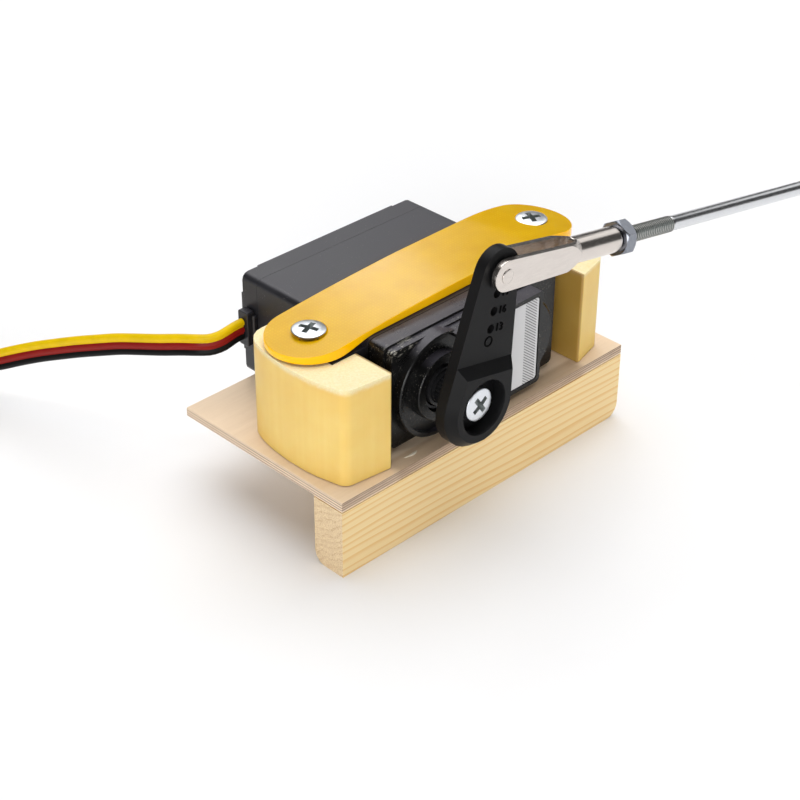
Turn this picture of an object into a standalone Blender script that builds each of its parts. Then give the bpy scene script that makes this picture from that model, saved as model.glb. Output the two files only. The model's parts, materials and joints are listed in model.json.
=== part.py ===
"""Hobby servo clamped in a small plywood mount, with its arm, clevis, pushrod and three-wire lead.

Every size below is in millimetres, and each mesh is scaled to metres when it becomes an object.
+X runs along the board to the right, +Y from the output side to the rear, +Z up.
The origin is the centre of the wooden rail's underside.
"""
import math

import bmesh
import bpy
from mathutils import Matrix, Vector

MM = 0.001
GAP = 0.15

# Wooden mount
BOARD_LENGTH, BOARD_DEPTH, BOARD_THICK = 68.1, 38.3, 1.8
RAIL_DEPTH, RAIL_HEIGHT, RAIL_CHAMFER, RAIL_CORNER = 6.5, 12.71, 2.2, 2.6
RAIL_FRONT = -RAIL_DEPTH / 2
BOARD_TOP = RAIL_HEIGHT + GAP + BOARD_THICK

# Servo case, lying on its side with the output towards the front
CASE_X, CASE_Z = 0.58, BOARD_TOP + 9.8
CASE_LENGTH, CASE_WIDTH, CASE_CORNER, CASE_WALL = 39.9, 19.2, 1.3, 1.2
CASE_STEP, CASE_STEP_Y, CASE_FRONT_Y = 0.45, 2.65, 1.25
GEAR_SEAM_Y, COVER_SEAM_Y, COVER_REAR_Y, COVER_PAD_Y = 6.25, 32.95, 36.65, 37.65
POST_CUT, POST_X, POST_Z = 4.2, 17.6, 7.5
PARTITION_Y, PARTITION_THICK = 8.95, 1.4
FLANGE_REACH, FLANGE_WIDTH, FLANGE_Y, FLANGE_THICK = 7.0, 16.3, 6.65, 2.5
FLANGE_HOLE_R, FLANGE_HOLE_Z, FLANGE_HOLE_IN = 2.2, 5.0, 2.9
CASE_SCREW_R, CASE_SCREW_HEAD_R, CASE_SCREW_TIP_Y = 0.85, 1.5, 3.9

# Output boss, label pad and rounded nose on the gear case
OUTPUT_X = -9.33
BOSS_R, BOSS_WALL, BOSS_FRONT_Y, BOSS_FLOOR_Y = 9.4, 0.8, -0.55, 0.45
COLLAR_R, COLLAR_FRONT_Y, COLLAR_LIP_R, COLLAR_LIP = 6.1, -1.45, 4.55, 0.3
PAD_LEFT, PAD_RIGHT, PAD_HALF_HEIGHT, PAD_FRONT_Y = -7.0, 13.65, 8.85, -1.75
LABEL_INSET, LABEL_DEPTH, LABEL_LEFT = 0.75, 0.2, -1.5
NOSE_X, NOSE_R, NOSE_FRONT_Y = 8.9, 8.3, -1.2

# Gear train: three 10:38 steps and a last 10:31 step, on one line of axes
FINE_MODULE, COARSE_MODULE = 0.4, 0.5
PINION_TEETH, WHEEL_TEETH, OUTPUT_TEETH = 10, 38, 31
PIN_A_X = OUTPUT_X + (PINION_TEETH + OUTPUT_TEETH) * COARSE_MODULE / 2
PIN_B_X = PIN_A_X + (PINION_TEETH + WHEEL_TEETH) * FINE_MODULE / 2
LEVELS = ((8.65, 7.15), (6.85, 5.35), (5.05, 3.65), (3.35, 1.65))
PIN_R, GEAR_BORE_R = 0.75, 0.9
STEM_R, STEM_REAR_Y, STEM_SOCKET_R, STEM_SOCKET_Y = 1.8, 9.2, 1.2, 6.0
SPLINE_TEETH, SPLINE_R, SPLINE_DEPTH, SPLINE_END_Y = 24, 2.8, 0.3, -7.2
SEAT_R, SCREW_BORE_R, SCREW_BORE_Y = 2.9, 1.45, 0.6

# Ball bearing in the output boss
BEARING_Y, BEARING_WIDTH = -1.15, 2.3
BEARING_OUTER_R, BEARING_INNER_R, RACE_THICK, BALL_R = 5.0, 3.05, 0.45, 0.45

# Motor, position sensor and electronics
MOTOR_R, MOTOR_FRONT_Y, MOTOR_REAR_Y, MOTOR_WALL = 8.2, 10.55, 27.0, 0.7
MOTOR_NOSE_R, MOTOR_NOSE_Y = 3.0, 9.15
MAGNET_INNER_R, MAGNET_FROM_Y, MAGNET_TO_Y, MAGNET_HALF_ANGLE = 5.9, 12.6, 24.6, 62.0
ARMATURE_R, ARMATURE_FROM_Y, ARMATURE_TO_Y = 5.5, 13.4, 23.4
COMMUTATOR_R, COMMUTATOR_TO_Y, MOTOR_SHAFT_END_Y = 2.2, 26.4, 28.8
POT_R, POT_FRONT_Y, POT_REAR_Y, POT_SHAFT_R = 6.2, 10.55, 17.0, 1.0
PCB_LEFT, PCB_RIGHT, PCB_HALF, PCB_Y, PCB_THICK = -17.6, 1.0, 8.0, 24.0, 1.0

# Resin blocks and glass-fibre strap
LEFT_BLOCK_INNER, LEFT_BLOCK_TOP = -21.65, 32.6
RIGHT_BLOCK_INNER, RIGHT_BLOCK_TOP = 23.65, 32.26
BLOCK_REAR_Y, BLOCK_OUT_X, BLOCK_SIDE_R, BLOCK_SIDE_Y, BLOCK_EDGE = 22.75, 32.35, 37.0, 9.8, 1.1
STRAP_THICK, STRAP_HALF, STRAP_REST = 1.9, 7.2, 0.15
STRAP_SCREW_LEFT, STRAP_SCREW_RIGHT = Vector((-24.85, 13.85)), Vector((28.55, 14.55))
STRAP_FLAT_LEFT, STRAP_FLAT_RIGHT, STRAP_DROP_LEFT, STRAP_DROP_RIGHT = 19.0, 17.0, 1.26, 0.9
STRAP_SCREW_HEAD_R, STRAP_SCREW_R, STRAP_SCREW_CONE, STRAP_SCREW_LENGTH = 2.85, 1.35, 1.4, 12.0
LEFT_SCREW_PROUD, RIGHT_SCREW_PROUD = 0.7, 0.3

# Servo arm, measured along itself from the output axis
ARM_TILT = 11.58
ARM_HUB_R, ARM_TIP_R, ARM_PIN_AT = 7.5, 4.2, 22.4
ARM_HOLES_AT, ARM_HOLE_R, ARM_PIN_HOLE_R = (13.0, 16.0, 19.0), 0.8, 1.0
BLADE_FRONT_Y, BLADE_REAR_Y = -8.45, -6.5
HUB_FRONT_Y, HUB_SLOPE_AT, HUB_TOP_AT, HUB_BEVEL = -10.1, 7.35, 5.7, 1.3
SOCKET_R, SOCKET_REAR_Y = 4.6, -3.85
HUB_RECESS_R, HUB_RECESS_Y, HUB_RECESS_EASE = 4.7, -7.45, 0.2
ARM_SCREW_HEAD_R, ARM_SCREW_R, ARM_SCREW_FRONT_Y = 2.9, 1.25, -9.2

# Clevis, lock nut and pushrod, measured along the rod from the clevis pin
ROD_FALL = 10.1
CLEVIS_HALF_WIDTH, CLEVIS_SLOT, CLEVIS_NOSE_R, CLEVIS_ROOT_HALF = 2.4, 1.4, 2.65, 2.2
CLEVIS_LEG, CLEVIS_THROAT, CLEVIS_SHOULDER, CLEVIS_END = 17.6, 16.4, 19.6, 29.0
BARREL_R, CLEVIS_ROOT_EASE = 2.25, 0.25
CLEVIS_PIN_R, CLEVIS_PIN_HEAD_R, CLEVIS_PIN_PROUD = 0.8, 1.25, 0.22
NUT_FROM, NUT_TO, NUT_FLATS = 29.25, 31.75, 5.6
THREAD_R, THREAD_TO, ROD_R, ROD_TO, ROD_IN = 1.42, 45.0, 1.3, 95.0, 20.6
ROD_BORE_GAP = 0.12

# Lead: three wires side by side, standing on edge
WIRE_R, WIRE_PITCH = 0.675, 1.35
RELIEF_Y, RELIEF_Z, RELIEF_OUT, RELIEF_DEPTH, RELIEF_HALF = 34.7, 24.8, 1.75, 2.5, 3.3
LEAD_ROUTE = (
    (-21.3, 34.7, 24.8), (-22.6, 34.7, 24.8), (-24.1, 34.8, 24.5), (-25.6, 35.2, 23.95),
    (-27.3, 36.1, 23.6), (-28.8, 37.6, 23.5), (-30.2, 40.5, 22.9), (-31.6, 44.3, 21.8),
    (-33.0, 48.3, 20.75), (-34.4, 52.2, 19.7), (-35.8, 56.2, 18.3), (-37.2, 60.3, 16.8),
    (-38.6, 64.5, 15.1), (-40.1, 68.8, 13.3), (-41.7, 73.1, 11.3), (-43.3, 77.5, 9.1),
    (-44.9, 82.2, 6.9), (-46.3, 87.0, 5.05), (-47.2, 91.8, 3.7), (-47.65, 96.4, 2.85),
    (-47.7, 99.4, 2.65), (-47.7, 101.3, 2.65),
)
LEAD_STEP = 4.0
COIL_CENTRE, COIL_Z, COIL_OUTER_R, COIL_PITCH, COIL_TURNS = (-70.7, 101.3), 2.65, 23.0, 2.0, 1.5
COIL_LOOP_POINTS, CURL_R, CURL_POINTS, COIL_TAIL, PLUG_Z = 24, 10.0, 6, 4.5, 4.05
TIE_ANGLE, TIE_WIDTH, TIE_WALL, TIE_CLEAR = 90.0, 2.4, 0.5, 0.1
PLUG_LENGTH, PLUG_HEIGHT, PLUG_THICK, PLUG_PITCH = 14.0, 7.8, 2.7, 2.54

PLANES = {
    "XY": lambda a, b, h: (a, b, h),
    "XZ": lambda a, b, h: (a, h, b),
    "YZ": lambda a, b, h: (h, a, b),
}
FINISHES = {
    "plywood": ((0.72, 0.55, 0.36), 0.7, 0.0),
    "pine": ((0.80, 0.63, 0.38), 0.65, 0.0),
    "resin": ((0.86, 0.71, 0.36), 0.55, 0.0),
    "glass_fibre": ((0.83, 0.55, 0.08), 0.4, 0.0),
    "zinc": ((0.75, 0.77, 0.80), 0.3, 1.0),
    "nickel": ((0.78, 0.74, 0.70), 0.25, 1.0),
    "steel": ((0.60, 0.60, 0.62), 0.3, 1.0),
    "case_plastic": ((0.03, 0.03, 0.033), 0.45, 0.0),
    "arm_plastic": ((0.025, 0.025, 0.027), 0.55, 0.0),
    "gear_nylon": ((0.85, 0.83, 0.76), 0.5, 0.0),
    "brass": ((0.80, 0.60, 0.25), 0.3, 1.0),
    "magnet": ((0.08, 0.08, 0.085), 0.6, 0.0),
    "board_green": ((0.04, 0.22, 0.10), 0.5, 0.0),
    "chip_epoxy": ((0.02, 0.02, 0.02), 0.5, 0.0),
    "lead_pvc": ((0.60, 0.12, 0.08), 0.45, 0.0),
    "tie_nylon": ((0.05, 0.05, 0.05), 0.5, 0.0),
}


def clear_scene():
    for thing in list(bpy.data.objects):
        bpy.data.objects.remove(thing, do_unlink=True)


def finish_material(name):
    """The shared Principled material of one finish."""
    made = bpy.data.materials.get(name)
    if made:
        return made
    colour, roughness, metallic = FINISHES[name]
    made = bpy.data.materials.new(name)
    made.use_nodes = True
    shader = made.node_tree.nodes["Principled BSDF"]
    shader.inputs["Base Color"].default_value = (*colour, 1.0)
    shader.inputs["Roughness"].default_value = roughness
    shader.inputs["Metallic"].default_value = metallic
    return made


def axis_empty(name, place, parent=None, turn=0.0):
    """An empty on a joint's axis, turned about Y by degrees, that carries the moving pieces."""
    empty = bpy.data.objects.new(name, None)
    empty.location = Vector(place) * MM
    empty.rotation_euler = (0.0, math.radians(turn), 0.0)
    empty.parent = parent
    bpy.context.collection.objects.link(empty)
    return empty


def make(name, bm, finish, parent=None, sharp=35.0):
    """Turns a mesh in millimetres into a named object, smooth apart from its sharp edges."""
    bmesh.ops.remove_doubles(bm, verts=bm.verts, dist=1e-5)
    bmesh.ops.recalc_face_normals(bm, faces=bm.faces)
    bmesh.ops.scale(bm, vec=(MM, MM, MM), verts=bm.verts)
    mesh = bpy.data.meshes.new(name)
    bm.to_mesh(mesh)
    bm.free()
    mesh.shade_smooth()
    mesh.set_sharp_from_angle(angle=math.radians(sharp))
    mesh.materials.append(finish_material(finish))
    piece = bpy.data.objects.new(name, mesh)
    piece.parent = parent
    bpy.context.collection.objects.link(piece)
    return piece


# Outlines in two dimensions


def circle(radius, centre=(0.0, 0.0), steps=32, phase=0.0):
    angles = [phase + 2 * math.pi * i / steps for i in range(steps)]
    return [(centre[0] + radius * math.cos(t), centre[1] + radius * math.sin(t)) for t in angles]


def rectangle(low, high):
    return [(low[0], low[1]), (high[0], low[1]), (high[0], high[1]), (low[0], high[1])]


def rounded(points, radii, steps=4):
    """An outline with a round corner of its own radius at each point, 0 for a sharp one."""
    out = []
    for i, (point, radius) in enumerate(zip(points, radii)):
        here = Vector(point)
        back = (Vector(points[i - 1]) - here).normalized()
        ahead = (Vector(points[(i + 1) % len(points)]) - here).normalized()
        if radius <= 0:
            out.append(tuple(here))
            continue
        half = back.angle(ahead) / 2
        middle = here + (back + ahead).normalized() * radius / math.sin(half)
        first = here + back * radius / math.tan(half) - middle
        last = here + ahead * radius / math.tan(half) - middle
        for k in range(steps + 1):
            blend = first.normalized().slerp(last.normalized(), k / steps)
            out.append(tuple(middle + blend * radius))
    return out


def case_outline(inset=0.0, corner=CASE_CORNER, steps=3):
    """The case's rounded rectangle, seen from the output side."""
    half = Vector((CASE_LENGTH / 2 - inset, CASE_WIDTH / 2 - inset))
    points = rectangle((CASE_X - half.x, CASE_Z - half.y), (CASE_X + half.x, CASE_Z + half.y))
    return rounded(points, [corner] * 4, steps)


def cavity_outline(wall=CASE_WALL, cut=POST_CUT):
    """The room inside the case, with its corners cut off by the screw posts."""
    a, b = CASE_LENGTH / 2 - wall, CASE_WIDTH / 2 - wall
    corners = ((a, b - cut), (a - cut, b), (-a + cut, b), (-a, b - cut),
               (-a, -b + cut), (-a + cut, -b), (a - cut, -b), (a, -b + cut))
    return [(CASE_X + x, CASE_Z + z) for x, z in corners]


def involute(angle):
    return math.tan(angle) - angle


def gear_outline(teeth, module, addendum, thickness, levels, phase):
    """Spur teeth with involute flanks read at a few levels from root to tip."""
    pitch_r = teeth * module / 2
    base_r = pitch_r * math.cos(math.radians(20))
    root_r, tip_r = pitch_r - 1.3 * module, pitch_r + addendum * module
    flank = []
    for level in levels:
        radius = root_r + (tip_r - root_r) * level
        pressure = math.acos(min(1.0, base_r / max(radius, base_r)))
        half = thickness * math.pi / (2 * teeth) + involute(math.radians(20)) - involute(pressure)
        flank.append((radius, half))
    points = []
    for tooth in range(teeth):
        middle = phase + 2 * math.pi * tooth / teeth
        points += [(r * math.cos(middle - h), r * math.sin(middle - h)) for r, h in flank]
        points += [(r * math.cos(middle + h), r * math.sin(middle + h)) for r, h in reversed(flank)]
    return points


def pinion_outline(module, phase):
    return gear_outline(PINION_TEETH, module, 0.9, 0.92, (0.0, 0.5, 1.0), phase)


def wheel_outline(teeth, module, phase):
    return gear_outline(teeth, module, 0.8, 0.76, (0.0, 1.0), phase)


def spline_outline(extra=0.0):
    """The fine teeth of the output shaft, or of the arm's socket with some room added."""
    points = []
    for k in range(2 * SPLINE_TEETH):
        radius = SPLINE_R + extra - SPLINE_DEPTH * (k % 2)
        angle = math.pi * k / SPLINE_TEETH
        points.append((radius * math.cos(angle), radius * math.sin(angle)))
    return points


# Solids


def closed_loop(bm, places):
    """The corners of a closed loop of edges through some places."""
    verts = [bm.verts.new(place) for place in places]
    for pair in zip(verts, verts[1:] + verts[:1]):
        bm.edges.new(pair)
    return verts


def fill(bm, *loops):
    """A flat cap inside the first loop and round the others."""
    edges = [bm.edges.get(pair) for verts in loops for pair in zip(verts, verts[1:] + verts[:1])]
    bmesh.ops.triangle_fill(bm, use_beauty=True, edges=edges)


def wall(bm, loops):
    """Skins a run of loops: side by side where their points match, a flat step where they don't."""
    for low, high in zip(loops, loops[1:]):
        if len(low) == len(high):
            for i in range(len(low)):
                bm.faces.new((low[i - 1], low[i], high[i], high[i - 1]))
        else:
            fill(bm, low, high)


def skin(bm, rings, plane):
    """Skins a run of (outline, height) rings and returns its first and last loop."""
    loops = [closed_loop(bm, [PLANES[plane](a, b, height) for a, b in outline]) for outline, height in rings]
    wall(bm, loops)
    return loops[0], loops[-1]


def loft(rings, bores=(), pocket=None, plane="XZ"):
    """A closed solid through rings, with bores right through it and a blind pocket from its first end."""
    bm = bmesh.new()
    first, last = skin(bm, rings, plane)
    ends = [[first], [last]]
    for bore in bores:
        for end, mouth in zip(ends, skin(bm, bore, plane)):
            end.append(mouth)
    if pocket:
        mouth, floor = skin(bm, pocket, plane)
        ends[0].append(mouth)
        ends.append([floor])
    for loops in ends:
        fill(bm, *loops)
    bmesh.ops.recalc_face_normals(bm, faces=bm.faces)
    return bm


def prism(outline, low, high, bores=(), plane="XZ"):
    return loft([(outline, low), (outline, high)], [[(b, low), (b, high)] for b in bores], None, plane)


def box(low, high):
    return prism(rectangle(low[:2], high[:2]), low[2], high[2], (), "XY")


def turned(profile, centre=(0.0, 0.0), steps=32, plane="XZ"):
    """A turned solid from (radius, height) pairs along its outside."""
    return loft([(circle(r, centre, steps), h) for r, h in profile], (), None, plane)


def boolean(operation, first, *others):
    """The first mesh joined with, or cut by, the others."""
    def stand_in(bm):
        mesh = bpy.data.meshes.new("stand_in")
        bm.to_mesh(mesh)
        bm.free()
        thing = bpy.data.objects.new("stand_in", mesh)
        bpy.context.collection.objects.link(thing)
        return thing

    base = stand_in(first)
    tools = [stand_in(other) for other in others]
    for tool in tools:
        modifier = base.modifiers.new("boolean", "BOOLEAN")
        modifier.operation = operation
        modifier.solver = "EXACT"
        modifier.object = tool
    evaluated = base.evaluated_get(bpy.context.evaluated_depsgraph_get())
    result = bmesh.new()
    result.from_mesh(evaluated.to_mesh())
    evaluated.to_mesh_clear()
    for thing in [base, *tools]:
        bpy.data.objects.remove(thing, do_unlink=True)
    bmesh.ops.dissolve_degenerate(result, edges=result.edges, dist=1e-4)
    return result


def joined(first, *others):
    return boolean("UNION", first, *others)


def cut(first, *others):
    return boolean("DIFFERENCE", first, *others)


def common(first, *others):
    return boolean("INTERSECT", first, *others)


def moved(bm, offset=(0.0, 0.0, 0.0), turn=0.0, axis="Y"):
    """A mesh turned about an axis through the origin by degrees, then shifted."""
    bmesh.ops.rotate(bm, verts=bm.verts, matrix=Matrix.Rotation(math.radians(turn), 3, axis))
    bmesh.ops.translate(bm, verts=bm.verts, vec=Vector(offset))
    return bm


def bevel_where(bm, test, width, steps=2):
    """Rounds the sharp edges whose two ends pass a test on their place."""
    edges = [e for e in bm.edges if e.calc_face_angle(0.0) > 0.3 and all(test(v.co) for v in e.verts)]
    bmesh.ops.bevel(bm, geom=edges, offset=width, segments=steps, profile=0.5, affect="EDGES",
                    offset_type="OFFSET", material=-1, clamp_overlap=True)
    return bm


def cross_recess(centre, top, reach, depth, plane="XY", sink=-1):
    """The tapered cross cut of a screw head, open towards its top."""
    def bar(wide, long, at):
        return [(centre[0] + x, centre[1] + y) for x, y in rectangle((-long, -wide), (long, wide))], at

    tools = []
    for turned_bar in (False, True):
        above, below = (0.3, 0.92 * depth) if turned_bar else (0.2, depth)
        rings = [bar(0.24 * reach, reach, top - above * sink), bar(0.15 * reach, reach * 0.45, top + below * sink)]
        if turned_bar:
            rings = [([(centre[0] + y - centre[1], centre[1] + x - centre[0]) for x, y in o], h)
                     for o, h in rings]
        tools.append(loft(rings, (), None, plane))
    return joined(*tools)


# Wooden mount


def build_board_and_rail():
    front, rear = RAIL_FRONT, RAIL_FRONT + BOARD_DEPTH
    half, low, behind = BOARD_LENGTH / 2, BOARD_TOP - BOARD_THICK, GAP - RAIL_FRONT
    board = box((-half, front, low), (half, rear, BOARD_TOP))
    bmesh.ops.bisect_plane(board, geom=[*board.verts, *board.edges, *board.faces],
                           plane_co=(0.0, behind, 0.0), plane_no=(0.0, 1.0, 0.0))

    def sanded(p):
        """The left and rear edges, and below only what the glued rail leaves free."""
        if p.z < low + 1e-3:
            return p.y > behind - 1e-3
        return p.x < -half + 1e-3 or p.y > rear - 1e-3

    bevel_where(board, sanded, 0.2, 1)
    make("base_board", board, "plywood")
    outline = rounded(rectangle((-half, 0.0), (half, RAIL_HEIGHT)), [0.0, RAIL_CORNER, 0.0, 0.0], 5)
    rail = prism(outline, front, -front)
    bevel_where(rail, lambda p: p.y > -front - 1e-3 and p.z < 1e-3, RAIL_CHAMFER, 3)
    make("bearer_rail", rail, "pine")


def block_outline(inner, side, front_inner, front_outer):
    """A resin block from above: flat inside, bowed outside, round at its outer corners."""
    centre_x = side * (BLOCK_OUT_X - BLOCK_SIDE_R)

    def bow(y):
        return centre_x + side * math.sqrt(BLOCK_SIDE_R ** 2 - (y - BLOCK_SIDE_Y) ** 2)

    ys = [front_outer + (BLOCK_REAR_Y - front_outer) * k / 6 for k in (0, 1.4, 2, 3, 4, 4.6, 6)]
    points = [(inner, BLOCK_REAR_Y), (inner, front_inner)] + [(bow(y), y) for y in ys]
    radii = [0.4, 0.4, 2.0] + [0.0] * 5 + [4.0]
    return rounded(points, radii, 4)


def build_block(name, inner, side, top, front_inner, front_outer, screw):
    """One resin block, with a saw slot for the servo's flange and a pilot hole for the strap's screw."""
    block = prism(block_outline(inner, side, front_inner, front_outer), BOARD_TOP + GAP, top, (), "XY")
    bevel_where(block, lambda p: p.z > top - 1e-3, BLOCK_EDGE, 2)
    flange_end = CASE_X + side * (CASE_LENGTH / 2 + FLANGE_REACH + 0.35)
    ends = sorted((flange_end, inner - side * 1.0))
    slot = box((ends[0], FLANGE_Y - 0.2, BOARD_TOP - 1.0), (ends[1], FLANGE_Y + FLANGE_THICK + 0.2, top + 1.0))
    pilot = turned([(STRAP_SCREW_R + GAP, top + 1.0), (STRAP_SCREW_R + GAP, top - STRAP_SCREW_LENGTH)],
                   screw, 16, "XY")
    make(name, cut(block, slot, pilot), "resin")


def strap_top(x):
    """The strap's upper face along its length: flat over the case, pressed down on the left, sprung on the right."""
    middle = (STRAP_SCREW_LEFT.x + STRAP_SCREW_RIGHT.x) / 2
    half = (STRAP_SCREW_RIGHT.x - STRAP_SCREW_LEFT.x) / 2
    flat = STRAP_FLAT_LEFT if x < middle else STRAP_FLAT_RIGHT
    past = max(0.0, abs(x - middle) - flat) / (half - flat)
    if x < middle:
        rest = min(past, 1.0)
        drop = STRAP_DROP_LEFT * rest ** 2 * (3.0 - 2.0 * rest)
    else:
        drop = STRAP_DROP_RIGHT * (past ** 2 if past < 1.0 else 2.0 * past - 1.0)
    return CASE_Z + CASE_WIDTH / 2 + STRAP_REST + STRAP_THICK - drop


def strap_stations():
    """Places along the strap with its half width there, closer together round the ends."""
    span = (STRAP_SCREW_RIGHT - STRAP_SCREW_LEFT).length
    ends = [math.radians(a) for a in (4, 16, 30, 46, 64, 82)]
    left = [(-STRAP_HALF * math.cos(a), STRAP_HALF * math.sin(a)) for a in ends]
    middle = [(span * k / 24, STRAP_HALF) for k in range(25)]
    return left + middle + [(span - at, half) for at, half in reversed(left)]


def build_strap():
    along = (STRAP_SCREW_RIGHT - STRAP_SCREW_LEFT).normalized()
    across = Vector((-along.y, along.x))
    bm = bmesh.new()
    loops = []
    for at, half in strap_stations():
        middle = STRAP_SCREW_LEFT + along * at
        top = strap_top(middle.x)
        corners = [(middle + across * s * half, z) for s, z in
                   ((-1, top), (1, top), (1, top - STRAP_THICK), (-1, top - STRAP_THICK))]
        loops.append(closed_loop(bm, [(*p, z) for p, z in corners]))
    wall(bm, loops)
    fill(bm, loops[0])
    fill(bm, loops[-1])
    bmesh.ops.recalc_face_normals(bm, faces=bm.faces)
    holes = []
    for place in (STRAP_SCREW_LEFT, STRAP_SCREW_RIGHT):
        top = strap_top(place.x)
        wide, narrow = STRAP_SCREW_HEAD_R + 0.25, STRAP_SCREW_R + 0.3
        holes.append(turned([(wide, top + 2.0), (wide, top + 0.1), (narrow, top - STRAP_SCREW_CONE + 0.15),
                             (narrow, top - STRAP_THICK - 2.0)], place, 28, "XY"))
    make("clamp_strap", cut(bm, *holes), "glass_fibre")


def build_strap_screw(name, place, proud):
    """A countersunk screw with a low dome and a cross recess."""
    top = strap_top(place.x) + proud
    seat = top - 0.35 - STRAP_SCREW_CONE
    profile = [(STRAP_SCREW_HEAD_R * 0.55, top), (STRAP_SCREW_HEAD_R * 0.85, top - 0.12),
               (STRAP_SCREW_HEAD_R, top - 0.35), (STRAP_SCREW_R, seat),
               (STRAP_SCREW_R, top - STRAP_SCREW_LENGTH + 1.5), (0.3, top - STRAP_SCREW_LENGTH)]
    screw = turned(profile, place, 24, "XY")
    make(name, cut(screw, cross_recess(place, top, 1.75, 1.1)), "zinc")


# Servo case


def post_places():
    return [(CASE_X + sx * POST_X, CASE_Z + sz * POST_Z) for sx in (-1, 1) for sz in (-1, 1)]


def build_gear_case():
    """The front shell: stepped body, output boss with its bearing collar, label pad and rounded nose."""
    axis = (OUTPUT_X, CASE_Z)
    main, step = case_outline(), case_outline(CASE_STEP, CASE_CORNER - 0.3)
    body = loft([(main, GEAR_SEAM_Y - GAP), (main, CASE_STEP_Y), (step, CASE_STEP_Y), (step, CASE_FRONT_Y)])
    inside = CASE_FRONT_Y + 1.0
    boss = turned([(BOSS_R, inside), (BOSS_R, BOSS_FRONT_Y + 0.2), (BOSS_R - 0.2, BOSS_FRONT_Y)], axis, 40)
    pad_low, pad_high = (PAD_LEFT, CASE_Z - PAD_HALF_HEIGHT), (PAD_RIGHT, CASE_Z + PAD_HALF_HEIGHT)
    pad = prism(rounded(rectangle(pad_low, pad_high), [0.0, 0.8, 0.5, 0.0], 3), inside, PAD_FRONT_Y)
    nose = turned([(NOSE_R, inside), (NOSE_R, NOSE_FRONT_Y + 0.5), (NOSE_R - 0.5, NOSE_FRONT_Y)],
                  (NOSE_X, CASE_Z), 32)
    shell = joined(body, boss, pad, nose)

    well_r = BOSS_R - BOSS_WALL
    well = turned([(well_r, PAD_FRONT_Y - 1.0), (well_r, BOSS_FLOOR_Y)], axis, 40)
    collar = turned([(COLLAR_R, CASE_FRONT_Y), (COLLAR_R, COLLAR_FRONT_Y + 0.15),
                     (COLLAR_R - 0.15, COLLAR_FRONT_Y)], axis, 32)
    label_low = (LABEL_LEFT, pad_low[1] + LABEL_INSET)
    label_high = (PAD_RIGHT - LABEL_INSET, pad_high[1] - LABEL_INSET)
    label = prism(rounded(rectangle(label_low, label_high), [0.6] * 4, 2), PAD_FRONT_Y - 1.0,
                  PAD_FRONT_Y + LABEL_DEPTH)
    shell = joined(cut(shell, well, label), collar)

    output_room = OUTPUT_TEETH * COARSE_MODULE / 2 + COARSE_MODULE + 0.3
    room = prism(cavity_outline(CASE_WALL + 0.2, POST_CUT), GEAR_SEAM_Y + 1.0, CASE_STEP_Y + 0.3)
    gear_well = turned([(output_room, CASE_STEP_Y + 1.0), (output_room, LEVELS[3][1] - 0.25)], axis, 28)
    pinion_well = turned([(3.5, CASE_STEP_Y + 1.0), (3.5, LEVELS[3][1] - 0.25)], (PIN_A_X, CASE_Z), 16)
    seat = BEARING_OUTER_R + GAP
    bearing_well = turned([(seat, LEVELS[3][1]), (seat, BEARING_Y - 0.1), (COLLAR_LIP_R, BEARING_Y - 0.1),
                           (COLLAR_LIP_R, COLLAR_FRONT_Y - 1.0)], axis, 28)
    pins = [turned([(PIN_R + 0.1, CASE_STEP_Y + 1.0), (PIN_R + 0.1, deep)], (x, CASE_Z), 16)
            for x, deep in ((PIN_A_X, 0.2), (PIN_B_X, 0.6))]
    posts = [turned([(CASE_SCREW_R + GAP, GEAR_SEAM_Y + 1.0), (CASE_SCREW_R + GAP, CASE_SCREW_TIP_Y - 0.3)],
                    place, 12) for place in post_places()]
    make("gear_case", cut(shell, room, gear_well, pinion_well, bearing_well, *pins, *posts), "case_plastic")


def flange_outline(side):
    """One mounting ear with two holes that open to its end, as on any servo of this size."""
    root = CASE_X + side * (CASE_LENGTH / 2 - 0.6)
    end = CASE_X + side * (CASE_LENGTH / 2 + FLANGE_REACH)
    low, high = sorted((root, end))
    half = FLANGE_WIDTH / 2
    return rounded(rectangle((low, CASE_Z - half), (high, CASE_Z + half)), [0.5] * 4, 2)


def build_middle_case():
    """The middle shell: mounting ears, motor room, and the partition that carries motor and gear pin."""
    body = prism(case_outline(), GEAR_SEAM_Y, COVER_SEAM_Y - GAP)
    ears = [prism(flange_outline(side), FLANGE_Y, FLANGE_Y + FLANGE_THICK) for side in (-1, 1)]
    shell = joined(body, *ears)
    holes = []
    for side in (-1, 1):
        x = CASE_X + side * (CASE_LENGTH / 2 + FLANGE_REACH - FLANGE_HOLE_IN)
        for z in (-FLANGE_HOLE_Z, FLANGE_HOLE_Z):
            low, high = FLANGE_Y - 1.0, FLANGE_Y + FLANGE_THICK + 1.0
            holes.append(turned([(FLANGE_HOLE_R, low), (FLANGE_HOLE_R, high)], (x, CASE_Z + z), 20))
            ends = sorted((x, x + side * 6.0))
            holes.append(box((ends[0], low + 0.1, CASE_Z + z - 1.1), (ends[1], high - 0.1, CASE_Z + z + 1.1)))
    rear_y = PARTITION_Y + PARTITION_THICK
    gear_room = prism(cavity_outline(), GEAR_SEAM_Y - 1.0, PARTITION_Y)
    motor_room = prism(cavity_outline(), rear_y, COVER_SEAM_Y + 1.0)
    through = [(MOTOR_NOSE_R + GAP, PIN_B_X), (STEM_R + 0.25, OUTPUT_X), (PIN_R + 0.1, PIN_A_X)]
    bores = [turned([(r, PARTITION_Y - 1.0), (r, rear_y + 1.0)], (x, CASE_Z), 24) for r, x in through]
    posts = [turned([(CASE_SCREW_R + GAP, GEAR_SEAM_Y - 1.0), (CASE_SCREW_R + GAP, COVER_SEAM_Y + 1.0)],
                    place, 12) for place in post_places()]
    make("middle_case", cut(shell, *holes, gear_room, motor_room, *bores, *posts), "case_plastic")


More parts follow.
